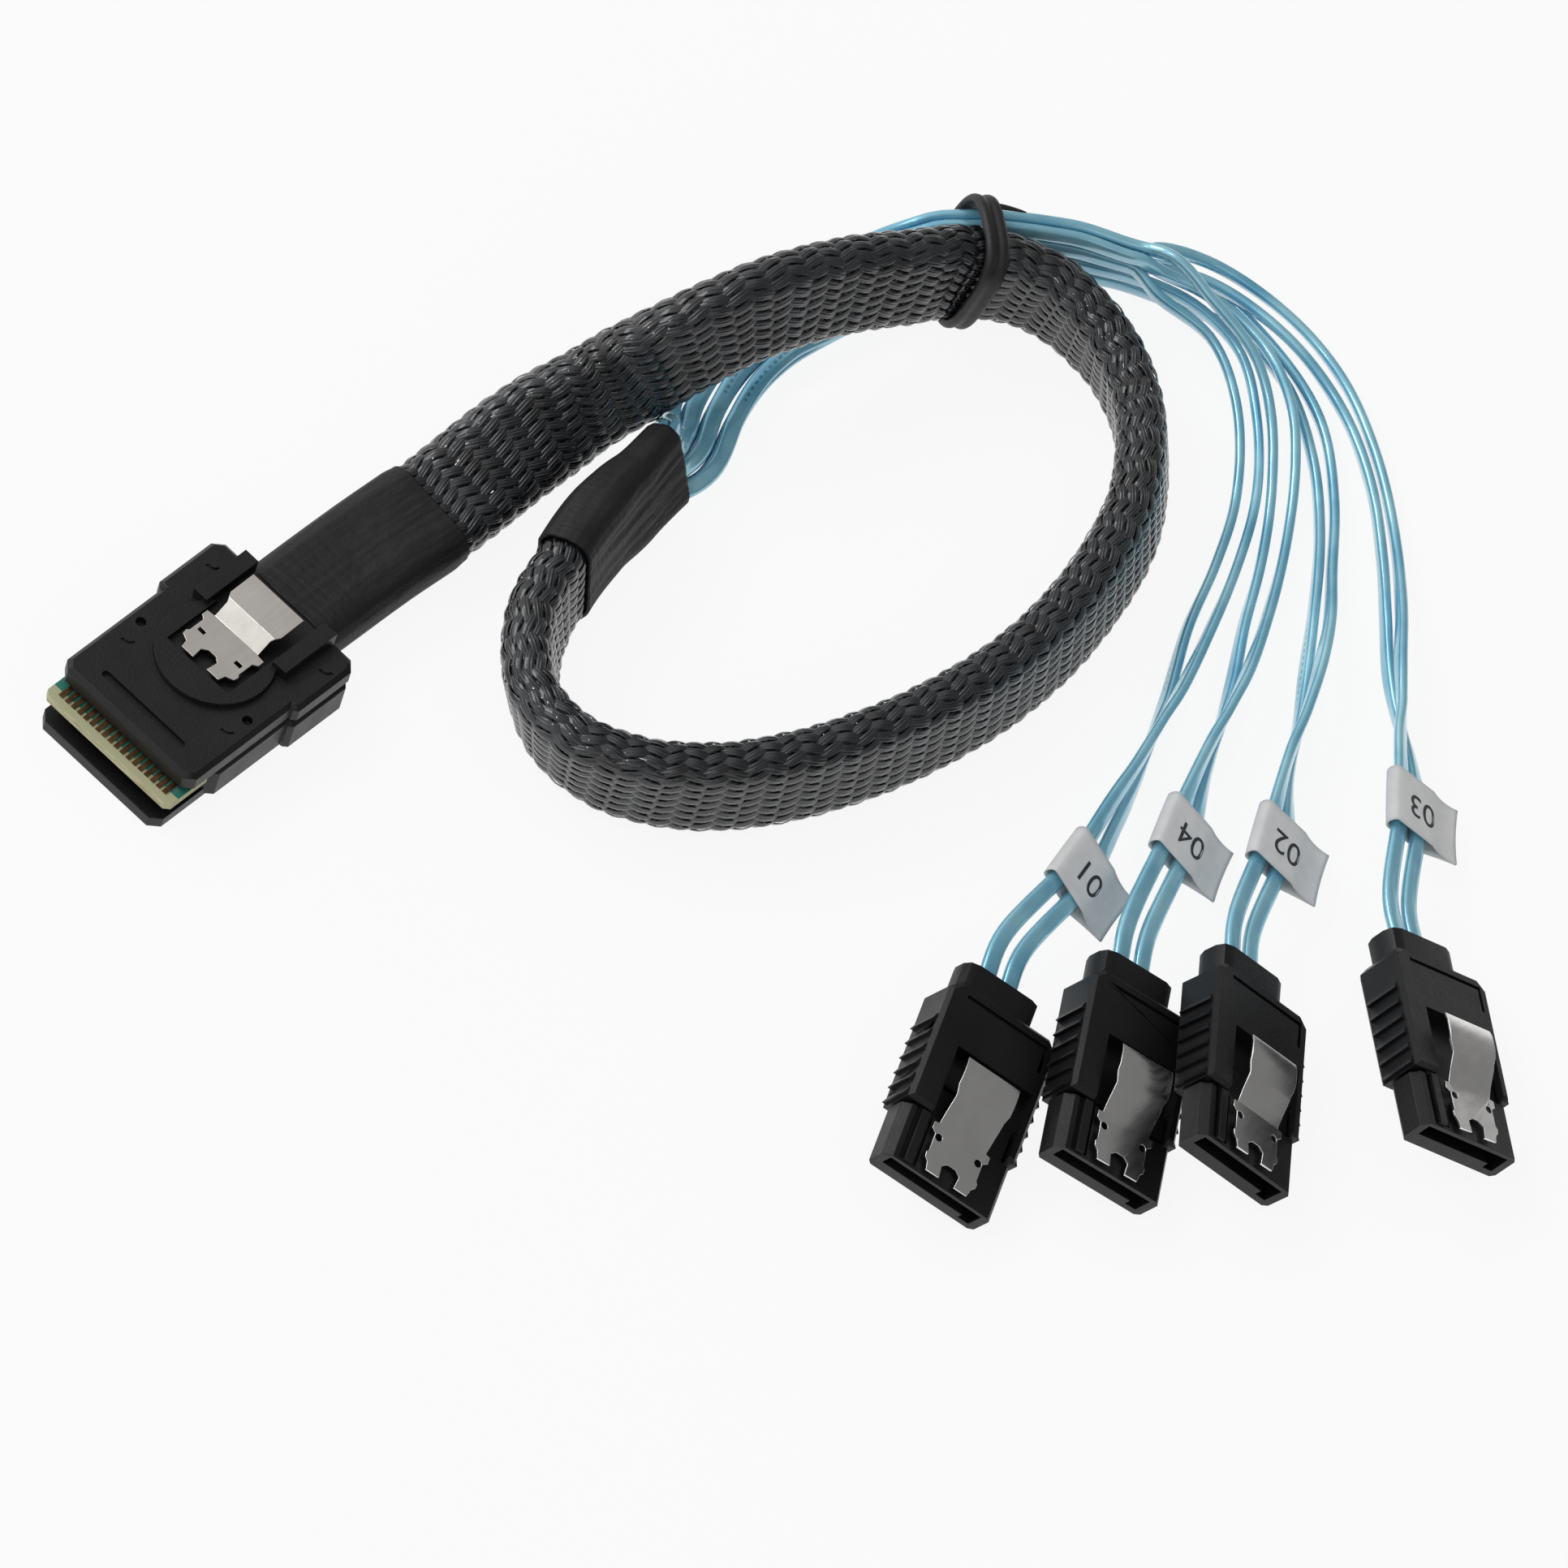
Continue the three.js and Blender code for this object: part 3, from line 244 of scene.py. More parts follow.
def leadPath(index):
    s = leadSize
    column, layer = bundlePlace[index]
    across, up = (column - 1.5) * (s["wide"] + s["gap"]), (layer - 0.5) * (s["thick"] + s["gap"])
    inBundle = beside(wholeRoute, across, up)
    lastThree = beside(cutRoute(wholeRoute, trunkLength, wholeLength, 20), across, up)
    pair, count = pairPaths[index // 2]
    pair = beside(pair, (0.5 if index % 2 == 0 else -0.5) * s["pairPitch"])
    atRows = [i * perSpan for i in range(count)]
    free = readRoute(asRows(lastThree, (-3, -2, -1)) + fanRoutes[index] + asRows(pair, atRows))
    after = 2 * perSpan + 1
    joined = {k: np.vstack([inBundle[k], free[k][after:]]) for k in ("point", "along", "wide", "thick")}
    joined["turn"] = np.concatenate([inBundle["turn"], free["turn"][after:]])
    steps = np.linalg.norm(np.diff(joined["point"], axis=0), axis=1)
    joined["far"] = np.concatenate([[0], np.cumsum(steps)])
    return cutRoute(joined, 0, joined["far"][-1], int(joined["far"][-1] / s["step"]))


leadPaths = [leadPath(i) for i in range(8)]
print("routes read, leads", [round(float(p["far"][-1]), 4) for p in leadPaths])


# shader helpers
def newMaterial(name, **values):
    mat = bpy.data.materials.new(name)
    mat.use_nodes = True
    shader = mat.node_tree.nodes["Principled BSDF"]
    for key, value in values.items():
        shader.inputs[key.replace("_", " ")].default_value = value
    return mat, mat.node_tree, shader


def wire(tree, kind, settings=None, **links):
    node = tree.nodes.new(kind)
    for key, value in (settings or {}).items():
        if hasattr(node, key):
            setattr(node, key, value)
        else:
            node.inputs[key].default_value = value
    for key, source in links.items():
        tree.links.new(source, node.inputs[key.replace("_", " ")])
    return node


def sums(tree, operation, *values):
    node = tree.nodes.new("ShaderNodeMath")
    node.operation = operation
    for socket, value in zip(node.inputs, values):
        if isinstance(value, (int, float)):
            socket.default_value = value
        else:
            tree.links.new(value, socket)
    return node.outputs[0]


def grain(tree, source, scale, detail=3.0, stretch=(1, 1, 1)):
    spread = wire(tree, "ShaderNodeMapping", {"Scale": stretch}, Vector=source)
    return wire(
        tree, "ShaderNodeTexNoise", {"Scale": scale, "Detail": detail}, Vector=spread.outputs["Vector"]
    ).outputs["Fac"]


def between(tree, factor, low, high):
    ramp = wire(tree, "ShaderNodeMapRange", {"To Min": low, "To Max": high}, Value=factor)
    return ramp.outputs["Result"]


def colours(tree, factor, stops):
    ramp = wire(tree, "ShaderNodeValToRGB", Fac=factor)
    while len(ramp.color_ramp.elements) < len(stops):
        ramp.color_ramp.elements.new(0.5)
    for element, (place, colour) in zip(ramp.color_ramp.elements, stops):
        element.position = place
        element.color = (*colour, 1)
    return ramp.outputs["Color"]


def bump(tree, shader, height, distance, strength=1.0):
    node = wire(tree, "ShaderNodeBump", {"Strength": strength, "Distance": distance}, Height=height)
    tree.links.new(node.outputs["Normal"], shader.inputs["Normal"])


def paint(tree, shader, source, stops):
    tree.links.new(colours(tree, source, stops), shader.inputs["Base Color"])


def roughen(tree, shader, source, low, high):
    tree.links.new(between(tree, source, low, high), shader.inputs["Roughness"])


def objectPlace(tree):
    return tree.nodes.new("ShaderNodeTexCoord").outputs["Object"]


def ownUv(tree):
    return wire(tree, "ShaderNodeUVMap", {"uv_map": "UVMap"}).outputs["UV"]


blackPlastic = {
    "dark": (0.0035, 0.0035, 0.0045), "light": (0.0085, 0.0085, 0.01), "rough": (0.34, 0.52),
    "cloudSize": 160, "sheenSize": 420, "grainSize": 4200, "grainDeep": 0.03 * mm,
}


def makePlastic(p):
    mat, tree, shader = newMaterial("moulded black plastic", Specular_IOR_Level=0.38)
    place = objectPlace(tree)
    paint(tree, shader, grain(tree, place, p["cloudSize"], 4), [(0.3, p["dark"]), (0.7, p["light"])])
    roughen(tree, shader, grain(tree, place, p["sheenSize"], 2), *p["rough"])
    bump(tree, shader, grain(tree, place, p["grainSize"], 2), p["grainDeep"])
    return mat


warmSteel = {"name": "sprung steel, warm", "tint": (0.6, 0.575, 0.54), "rough": 0.28}
brightSteel = {"name": "sprung steel, bright", "tint": (0.74, 0.73, 0.72), "rough": 0.2}
rolling = {"streakSize": 900, "cloudSize": 260, "stretch": (0.25, 1.6, 1), "deep": 0.012 * mm, "paler": 1.1}


def makeNickel(steel):
    mat, tree, shader = newMaterial(steel["name"], Metallic=1.0)
    place = objectPlace(tree)
    streak = grain(tree, place, rolling["streakSize"], 3, rolling["stretch"])
    pale = tuple(min(1, c * rolling["paler"]) for c in steel["tint"])
    paint(tree, shader, grain(tree, place, rolling["cloudSize"], 4), [(0.35, steel["tint"]), (0.7, pale)])
    roughen(tree, shader, streak, steel["rough"] - 0.06, steel["rough"] + 0.1)
    bump(tree, shader, streak, rolling["deep"])
    return mat


padPlating = {
    "name": "worn pad plating", "metal": 0.6, "dark": (0.07, 0.035, 0.012), "light": (0.2, 0.11, 0.04),
    "cloudSize": 1200, "rough": (0.3, 0.5),
}
goldPlating = {
    "name": "gold plating", "metal": 1.0, "dark": (0.6, 0.42, 0.2), "light": (0.86, 0.68, 0.4),
    "cloudSize": 700, "rough": (0.22, 0.38),
}


def makePlating(p):
    mat, tree, shader = newMaterial(p["name"], Metallic=p["metal"])
    place = objectPlace(tree)
    paint(tree, shader, grain(tree, place, p["cloudSize"], 3), [(0.3, p["dark"]), (0.75, p["light"])])
    roughen(tree, shader, grain(tree, place, 1500, 2), *p["rough"])
    return mat


board = {
    "edgeDark": (0.42, 0.4, 0.22), "edgeLight": (0.72, 0.68, 0.45), "bare": (0.5, 0.5, 0.3),
    "mask": (0.03, 0.2, 0.16), "maskEnds": 12.85 * mm, "flatAbove": 0.7, "grainDeep": 0.02 * mm,
}


def makeCard(b):
    mat, tree, shader = newMaterial("circuit board")
    place = objectPlace(tree)
    normal = tree.nodes.new("ShaderNodeNewGeometry").outputs["Normal"]
    facing = wire(tree, "ShaderNodeSeparateXYZ", Vector=normal).outputs["Z"]
    flat = sums(tree, "GREATER_THAN", sums(tree, "ABSOLUTE", facing), b["flatAbove"])
    layers = grain(tree, place, 2200, 2, (0.3, 0.3, 4))
    edge = colours(tree, layers, [(0.35, b["edgeDark"]), (0.65, b["edgeLight"])])
    # bare laminate in front of the pads, solder mask behind them
    forward = wire(tree, "ShaderNodeSeparateXYZ", Vector=place).outputs["X"]
    mask = sums(tree, "LESS_THAN", forward, b["maskEnds"])
    cloud = sums(tree, "ADD", grain(tree, place, 600, 3), 0.5)
    face = colours(tree, sums(tree, "MULTIPLY", mask, cloud), [(0.0, b["bare"]), (1.0, b["mask"])])
    mix = wire(tree, "ShaderNodeMix", {"data_type": "RGBA"})
    tree.links.new(flat, mix.inputs[0])
    tree.links.new(edge, mix.inputs[6])
    tree.links.new(face, mix.inputs[7])
    tree.links.new(mix.outputs[2], shader.inputs["Base Color"])
    roughen(tree, shader, flat, 0.75, 0.35)
    bump(tree, shader, grain(tree, place, 3000, 2), b["grainDeep"])
    return mat


blueJacket = {
    "deep": (0.16, 0.49, 0.69), "pale": (0.42, 0.79, 0.92), "cloudSize": 120, "ink": (0.02, 0.05, 0.11, 1),
    "inkStrength": 0.55, "markEvery": 34 * mm, "markLong": 12 * mm, "dashEvery": 0.9 * mm, "dashShare": 0.55,
    "dashAt": 0.25, "dashHalf": 0.03, "rough": (0.14, 0.34), "rippleDeep": 0.28 * mm,
}


def makeLeadJacket(j):
    mat, tree, shader = newMaterial("blue lead jacket", Metallic=0.35, Coat_Weight=0.8, Coat_Roughness=0.07)
    uv = wire(tree, "ShaderNodeSeparateXYZ", Vector=ownUv(tree))
    along, around = uv.outputs["X"], uv.outputs["Y"]
    cloud = grain(tree, objectPlace(tree), j["cloudSize"], 3)
    blue = colours(tree, cloud, [(0.3, j["deep"]), (0.7, j["pale"])])
    # plain dark dashes along the middle of one flat side
    part = sums(tree, "FRACT", sums(tree, "DIVIDE", along, j["markEvery"]))
    inRun = sums(tree, "LESS_THAN", part, j["markLong"] / j["markEvery"])
    inStep = sums(tree, "FRACT", sums(tree, "DIVIDE", along, j["dashEvery"]))
    dash = sums(tree, "LESS_THAN", inStep, j["dashShare"])
    offMiddle = sums(tree, "ABSOLUTE", sums(tree, "SUBTRACT", around, j["dashAt"]))
    middle = sums(tree, "LESS_THAN", offMiddle, j["dashHalf"])
    ink = sums(tree, "MULTIPLY", sums(tree, "MULTIPLY", inRun, dash), middle)
    mix = wire(tree, "ShaderNodeMix", {"data_type": "RGBA"})
    tree.links.new(sums(tree, "MULTIPLY", ink, j["inkStrength"]), mix.inputs[0])
    tree.links.new(blue, mix.inputs[6])
    mix.inputs[7].default_value = j["ink"]
    tree.links.new(mix.outputs[2], shader.inputs["Base Color"])
    lengthwise, crosswise = sums(tree, "MULTIPLY", along, 90), sums(tree, "MULTIPLY", around, 2.5)
    spread = wire(tree, "ShaderNodeCombineXYZ", X=lengthwise, Y=crosswise)
    ripple = wire(tree, "ShaderNodeTexNoise", {"Scale": 1.0, "Detail": 2.0}, Vector=spread.outputs["Vector"])
    roughen(tree, shader, ripple.outputs["Fac"], *j["rough"])
    bump(tree, shader, ripple.outputs["Fac"], j["rippleDeep"])
    return mat


braidStrand = {
    "filaments": 3, "dark": (0.002, 0.0024, 0.0035), "light": (0.02, 0.023, 0.03), "cloudSize": 240,
    "rough": (0.16, 0.36), "filamentDeep": 0.11 * mm,
}


def makeStrand(b):
    mat, tree, shader = newMaterial("braid strand", Coat_Weight=0.7, Coat_Roughness=0.07)
    uv = wire(tree, "ShaderNodeSeparateXYZ", Vector=ownUv(tree))
    cloud = grain(tree, objectPlace(tree), b["cloudSize"], 3)
    paint(tree, shader, cloud, [(0.3, b["dark"]), (0.75, b["light"])])
    swell = sums(tree, "SINE", sums(tree, "MULTIPLY", uv.outputs["Y"], pi * b["filaments"]))
    wave = sums(tree, "ABSOLUTE", swell)
    roughen(tree, shader, grain(tree, objectPlace(tree), 900, 2), *b["rough"])
    bump(tree, shader, wave, b["filamentDeep"], 0.8)
    return mat


shrinkSkin = {
    "dark": (0.0065, 0.006, 0.007), "light": (0.0135, 0.0125, 0.014), "rough": (0.52, 0.72),
    "swingLong": 9 * mm, "creaseDeep": 0.2 * mm, "turns": (7.0, 26.0), "across": (15.0, 90.0),
}


def makeShrinkSkin(s):
    mat, tree, shader = newMaterial("heat shrink skin", Specular_IOR_Level=0.42)
    uv = wire(tree, "ShaderNodeSeparateXYZ", Vector=ownUv(tree))
    along, around = uv.outputs["X"], uv.outputs["Y"]
    # creases lie across the tube at its start and swing round to lengthwise further on
    swing = sums(tree, "POWER", 2.718, sums(tree, "DIVIDE", along, -s["swingLong"]))
    turned = sums(tree, "SUBTRACT", 1.0, swing)
    crowding = sums(tree, "ADD", s["turns"][0], sums(tree, "MULTIPLY", turned, s["turns"][1]))
    phase = sums(tree, "MULTIPLY", around, crowding)
    near = sums(tree, "MULTIPLY", turned, s["across"][0])
    farther = sums(tree, "MULTIPLY", along, s["across"][1])
    spread = wire(tree, "ShaderNodeCombineXYZ", X=sums(tree, "ADD", near, farther), Y=phase)
    crease = wire(tree, "ShaderNodeTexNoise", {"Scale": 1.0, "Detail": 3.0}, Vector=spread.outputs["Vector"])
    fine = grain(tree, objectPlace(tree), 2600, 2)
    paint(tree, shader, grain(tree, objectPlace(tree), 220, 3), [(0.3, s["dark"]), (0.75, s["light"])])
    roughen(tree, shader, fine, *s["rough"])
    height = sums(tree, "ADD", crease.outputs["Fac"], sums(tree, "MULTIPLY", fine, 0.12))
    bump(tree, shader, height, s["creaseDeep"], 0.9)
    return mat


blackRubber = {
    "dark": (0.007, 0.0065, 0.007), "light": (0.016, 0.015, 0.016), "rough": (0.4, 0.6), "deep": 0.04 * mm,
}


def makeRubber(r):
    mat, tree, shader = newMaterial("black rubber")
    place = objectPlace(tree)
    paint(tree, shader, grain(tree, place, 330, 4), [(0.3, r["dark"]), (0.75, r["light"])])
    roughen(tree, shader, grain(tree, place, 700, 2), *r["rough"])
    bump(tree, shader, grain(tree, place, 1800, 3), r["deep"])
    return mat


labelPaper = {"dark": (0.78, 0.79, 0.8), "light": (0.88, 0.88, 0.88), "deep": 0.02 * mm}


def makePaper(p):
    mat, tree, shader = newMaterial("label paper", Roughness=0.68)
    place = objectPlace(tree)
    paint(tree, shader, grain(tree, place, 500, 4), [(0.3, p["dark"]), (0.75, p["light"])])
    bump(tree, shader, grain(tree, place, 4000, 3), p["deep"])
    return mat


numeralInk = {"dark": (0.012, 0.014, 0.02), "light": (0.05, 0.055, 0.065)}


def makeInk(k):
    mat, tree, shader = newMaterial("numeral ink", Roughness=0.6)
    paint(tree, shader, grain(tree, objectPlace(tree), 2500, 3), [(0.3, k["dark"]), (0.8, k["light"])])
    return mat


finish = {
    "plastic": makePlastic(blackPlastic),
    "leaf": makeNickel(warmSteel),
    "bright": makeNickel(brightSteel),
    "gold": makePlating(goldPlating),
    "pads": makePlating(padPlating),
    "card": makeCard(board),
    "lead": makeLeadJacket(blueJacket),
    "strand": makeStrand(braidStrand),
    "shrink": makeShrinkSkin(shrinkSkin),
    "rubber": makeRubber(blackRubber),
    "paper": makePaper(labelPaper),
    "ink": makeInk(numeralInk),
}
print("materials ready")


# shorthand for a geometry node tree with named inputs
class NodeDesk:
    def __init__(self, name, sizes):
        self.tree = bpy.data.node_groups.new(name, "GeometryNodeTree")
        face = self.tree.interface
        face.new_socket("Geometry", in_out="OUTPUT", socket_type="NodeSocketGeometry")
        face.new_socket("Geometry", in_out="INPUT", socket_type="NodeSocketGeometry")
        for key, value in sizes.items():
            kind = "NodeSocketInt" if isinstance(value, int) else "NodeSocketFloat"
            face.new_socket(key, in_out="INPUT", socket_type=kind)
        face.new_socket("Material", in_out="INPUT", socket_type="NodeSocketMaterial")
        self.given = self.tree.nodes.new("NodeGroupInput").outputs

    def add(self, kind, settings=None, **links):
        node = self.tree.nodes.new(kind)
        for key, value in (settings or {}).items():
            if hasattr(node, key):
                setattr(node, key, value)
            else:
                node.inputs[key].default_value = value
        for key, source in links.items():
            self.plug(source, node.inputs[key.replace("_", " ")])
        return node

    def plug(self, source, socket):
        if isinstance(source, (int, float)):
            socket.default_value = source
        else:
            self.tree.links.new(source, socket)

    def calc(self, operation, *values):
        node = self.add("ShaderNodeMath", {"operation": operation})
        for socket, value in zip(node.inputs, values):
            self.plug(value, socket)
        return node.outputs[0]

    def vec(self, operation, a, b=None, scale=None):
        node = self.add("ShaderNodeVectorMath", {"operation": operation})
        self.plug(a, node.inputs[0])
        if b is not None:
            self.plug(b, node.inputs[1])
        if scale is not None:
            self.plug(scale, node.inputs["Scale"])
        return node.outputs[1 if operation == "LENGTH" else 0]

    def point(self, x=0.0, y=0.0, z=0.0):
        return self.add("ShaderNodeCombineXYZ", X=x, Y=y, Z=z).outputs[0]

    def finish(self, geometry):
        smooth = self.add("GeometryNodeSetShadeSmooth", Geometry=geometry).outputs[0]
        painted = self.add("GeometryNodeSetMaterial", Geometry=smooth, Material=self.given["Material"])
        out = self.tree.nodes.new("NodeGroupOutput")
        self.tree.links.new(painted.outputs[0], out.inputs[0])

    def field(self, name, kind="FLOAT"):
        return self.add("GeometryNodeInputNamedAttribute", {"data_type": kind, "Name": name}).outputs[0]

    # the rounded outline of the flat tube
    def section(self):
        size = {"Width": self.given["Width"], "Height": self.given["Height"]}
        quad = self.add("GeometryNodeCurvePrimitiveQuadrilateral", **size).outputs[0]
        links = {"Curve": quad, "Radius": self.given["Radius"]}
        return self.add("GeometryNodeFilletCurve", {"mode": "POLY", "Count": 6}, **links).outputs[0]


# bends what lies flat (along the route, around the section, lifted off it) onto a tube along the guide
def wrapOnRoute(desk, flat, along, around, lift, scaleWide=1.0, scaleThick=1.0):
    given = desk.given
    guide = desk.add("GeometryNodeMeshToCurve", Mesh=given["Geometry"]).outputs[0]
    settings = {"mode": "LENGTH", "data_type": "FLOAT_VECTOR"}
    onGuide = desk.add("GeometryNodeSampleCurve", settings, Curves=guide, Length=along)
    desk.plug(desk.field("wide", "FLOAT_VECTOR"), onGuide.inputs["Value"])
    wide = desk.vec("NORMALIZE", onGuide.outputs["Value"])
    thick = desk.vec("NORMALIZE", desk.vec("CROSS_PRODUCT", wide, onGuide.outputs["Tangent"]))
    outline = desk.section()
    onSection = desk.add("GeometryNodeSampleCurve", {"mode": "LENGTH"}, Curves=outline)
    girth = desk.add("GeometryNodeCurveLength", Curve=outline).outputs[0]
    turned = desk.calc("FLOORED_MODULO", desk.calc("MULTIPLY", around, girth), girth)
    desk.plug(turned, onSection.inputs["Length"])
    rim = onSection.outputs["Position"]
    reachWide = desk.calc("SUBTRACT", desk.calc("MULTIPLY", given["Width"], 0.5), given["Radius"])
    reachThick = desk.calc("SUBTRACT", desk.calc("MULTIPLY", given["Height"], 0.5), given["Radius"])
    inner = desk.vec("MINIMUM", rim, desk.point(reachWide, reachThick))
    lowest = desk.point(desk.calc("MULTIPLY", reachWide, -1.0), desk.calc("MULTIPLY", reachThick, -1.0))
    outward = desk.vec("NORMALIZE", desk.vec("SUBTRACT", rim, desk.vec("MAXIMUM", inner, lowest)))
    onRim = desk.vec("ADD", rim, desk.vec("SCALE", outward, scale=lift))
    raised = desk.add("ShaderNodeSeparateXYZ", Vector=onRim).outputs
    place = onGuide.outputs["Position"]
    for way, reach, scale in ((wide, raised[0], scaleWide), (thick, raised[1], scaleThick)):
        place = desk.vec("ADD", place, desk.vec("SCALE", way, scale=desk.calc("MULTIPLY", reach, scale)))
    return desk.add("GeometryNodeSetPosition", Geometry=flat, Position=place).outputs[0]


def storeUv(desk, geometry, along, around):
    settings = {"data_type": "FLOAT2", "domain": "CORNER", "Name": "UVMap"}
    place = desk.point(along, around)
    return desk.add("GeometryNodeStoreNamedAttribute", settings, Geometry=geometry, Value=place).outputs[0]


def lengthOfGuide(desk):
    guide = desk.add("GeometryNodeMeshToCurve", Mesh=desk.given["Geometry"]).outputs[0]
    return desk.add("GeometryNodeCurveLength", Curve=guide).outputs[0]


# a closed flat tube, which may draw in to a mouth at its far end and may be wrinkled lengthwise
def makeTubeTree(sizes):
    desk = NodeDesk("flat tube along a route", sizes)
    given = desk.given
    steps = desk.calc("ADD", given["Steps"], 1)
    sides = desk.calc("ADD", given["Sides"], 1)
    sheet = desk.add("GeometryNodeMeshGrid", Size_X=1.0, Size_Y=1.0, Vertices_X=steps, Vertices_Y=sides)
    at = desk.add("ShaderNodeSeparateXYZ", Vector=desk.add("GeometryNodeInputPosition").outputs[0]).outputs
    part = desk.calc("ADD", at[0], 0.5)
    around = desk.calc("ADD", at[1], 0.5)
    along = desk.calc("MULTIPLY", part, lengthOfGuide(desk))
    flat = storeUv(desk, sheet.outputs[0], along, around)
    # one noise value goes round the seam without a step, because it reads a circle
    turn = desk.calc("MULTIPLY", around, 2 * pi)
    ringX = desk.calc("MULTIPLY", desk.calc("COSINE", turn), given["Wrinkle Count"])
    ringY = desk.calc("MULTIPLY", desk.calc("SINE", turn), given["Wrinkle Count"])
    ring = desk.point(ringX, ringY, desk.calc("MULTIPLY", along, 45.0))
    noise = desk.add("ShaderNodeTexNoise", {"Scale": 1.0, "Detail": 2.0}, Vector=ring).outputs[0]
    lift = desk.calc("MULTIPLY", desk.calc("SUBTRACT", noise, 0.5), given["Wrinkle"])
    rest = desk.calc("SUBTRACT", 1.0, given["Taper"])
    ease = desk.add("ShaderNodeMapRange", {"interpolation_type": "SMOOTHSTEP"}, Value=part, From_Min=rest)
    size = []
    for key in ("Mouth Wide", "Mouth Thick"):
        size.append(desk.add("ShaderNodeMix", Factor=ease.outputs[0], A=1.0, B=given[key]).outputs[0])
    tube = wrapOnRoute(desk, flat, along, around, lift, *size)
    desk.finish(desk.add("GeometryNodeMergeByDistance", {"Distance": 1e-7}, Geometry=tube).outputs[0])
    return desk.tree


tubeSizes = {
    "Width": 0.002, "Height": 0.0011, "Radius": 0.00048, "Steps": 400, "Sides": 16,
    "Wrinkle": 0.0, "Wrinkle Count": 4.0, "Taper": 0.1, "Mouth Wide": 1.0, "Mouth Thick": 1.0,
}
tubeTree = makeTubeTree(tubeSizes)


def guideLine(name, path):
    mesh = bpy.data.meshes.new(name)
    count = len(path["point"])
    mesh.from_pydata([tuple(p) for p in path["point"]], [(i, i + 1) for i in range(count - 1)], [])
    wide = mesh.attributes.new("wide", "FLOAT_VECTOR", "POINT")
    wide.data.foreach_set("vector", path["wide"].astype(np.float32).ravel())
    obj = bpy.data.objects.new(name, mesh)
    scene.collection.objects.link(obj)
    return obj


def bake(obj, name):
    depsgraph = bpy.context.evaluated_depsgraph_get()
    shown = obj.evaluated_get(depsgraph)
    mesh = bpy.data.meshes.new_from_object(shown, preserve_all_data_layers=True, depsgraph=depsgraph)
    obj.modifiers.clear()
    bpy.data.objects.remove(obj)
    mesh.name = name
    made = bpy.data.objects.new(name, mesh)
    scene.collection.objects.link(made)
    return made


def growAlong(tree, name, path, sizes, material):
    guide = guideLine(name + "_guide", path)
    mod = guide.modifiers.new("grow", "NODES")
    mod.node_group = tree
    for item in tree.interface.items_tree:
        if item.in_out == "INPUT" and item.name in sizes:
            mod[item.identifier] = sizes[item.name]
        elif item.in_out == "INPUT" and item.name == "Material":
            mod[item.identifier] = material
    return bake(guide, name)


def capEnds(obj):
    bm = bmesh.new()
    bm.from_mesh(obj.data)
    edges = [e for e in bm.edges if e.is_boundary]
    bmesh.ops.holes_fill(bm, edges=edges, sides=0)
    bm.to_mesh(obj.data)
    bm.free()


def turnOutward(obj):
    bm = bmesh.new()
    bm.from_mesh(obj.data)
    bmesh.ops.recalc_face_normals(bm, faces=bm.faces)
    bm.to_mesh(obj.data)
    bm.free()


def thicken(obj, wall):
    mod = obj.modifiers.new("wall", "SOLIDIFY")
    mod.thickness = wall
    mod.offset = -1
    return bake(obj, obj.name)


# the braid: ribbons laid flat as a slanted grid, over and under, and then bent onto the sleeve
braid = {
    "Width": 0.0116, "Height": 0.005, "Radius": 0.0022, "Strands": 22, "Cell Length": 0.0042,
    "Ribbon Width": 0.00104, "Lift": 0.0002, "Crown": 0.00012, "Steps Per Crossing": 4,
}


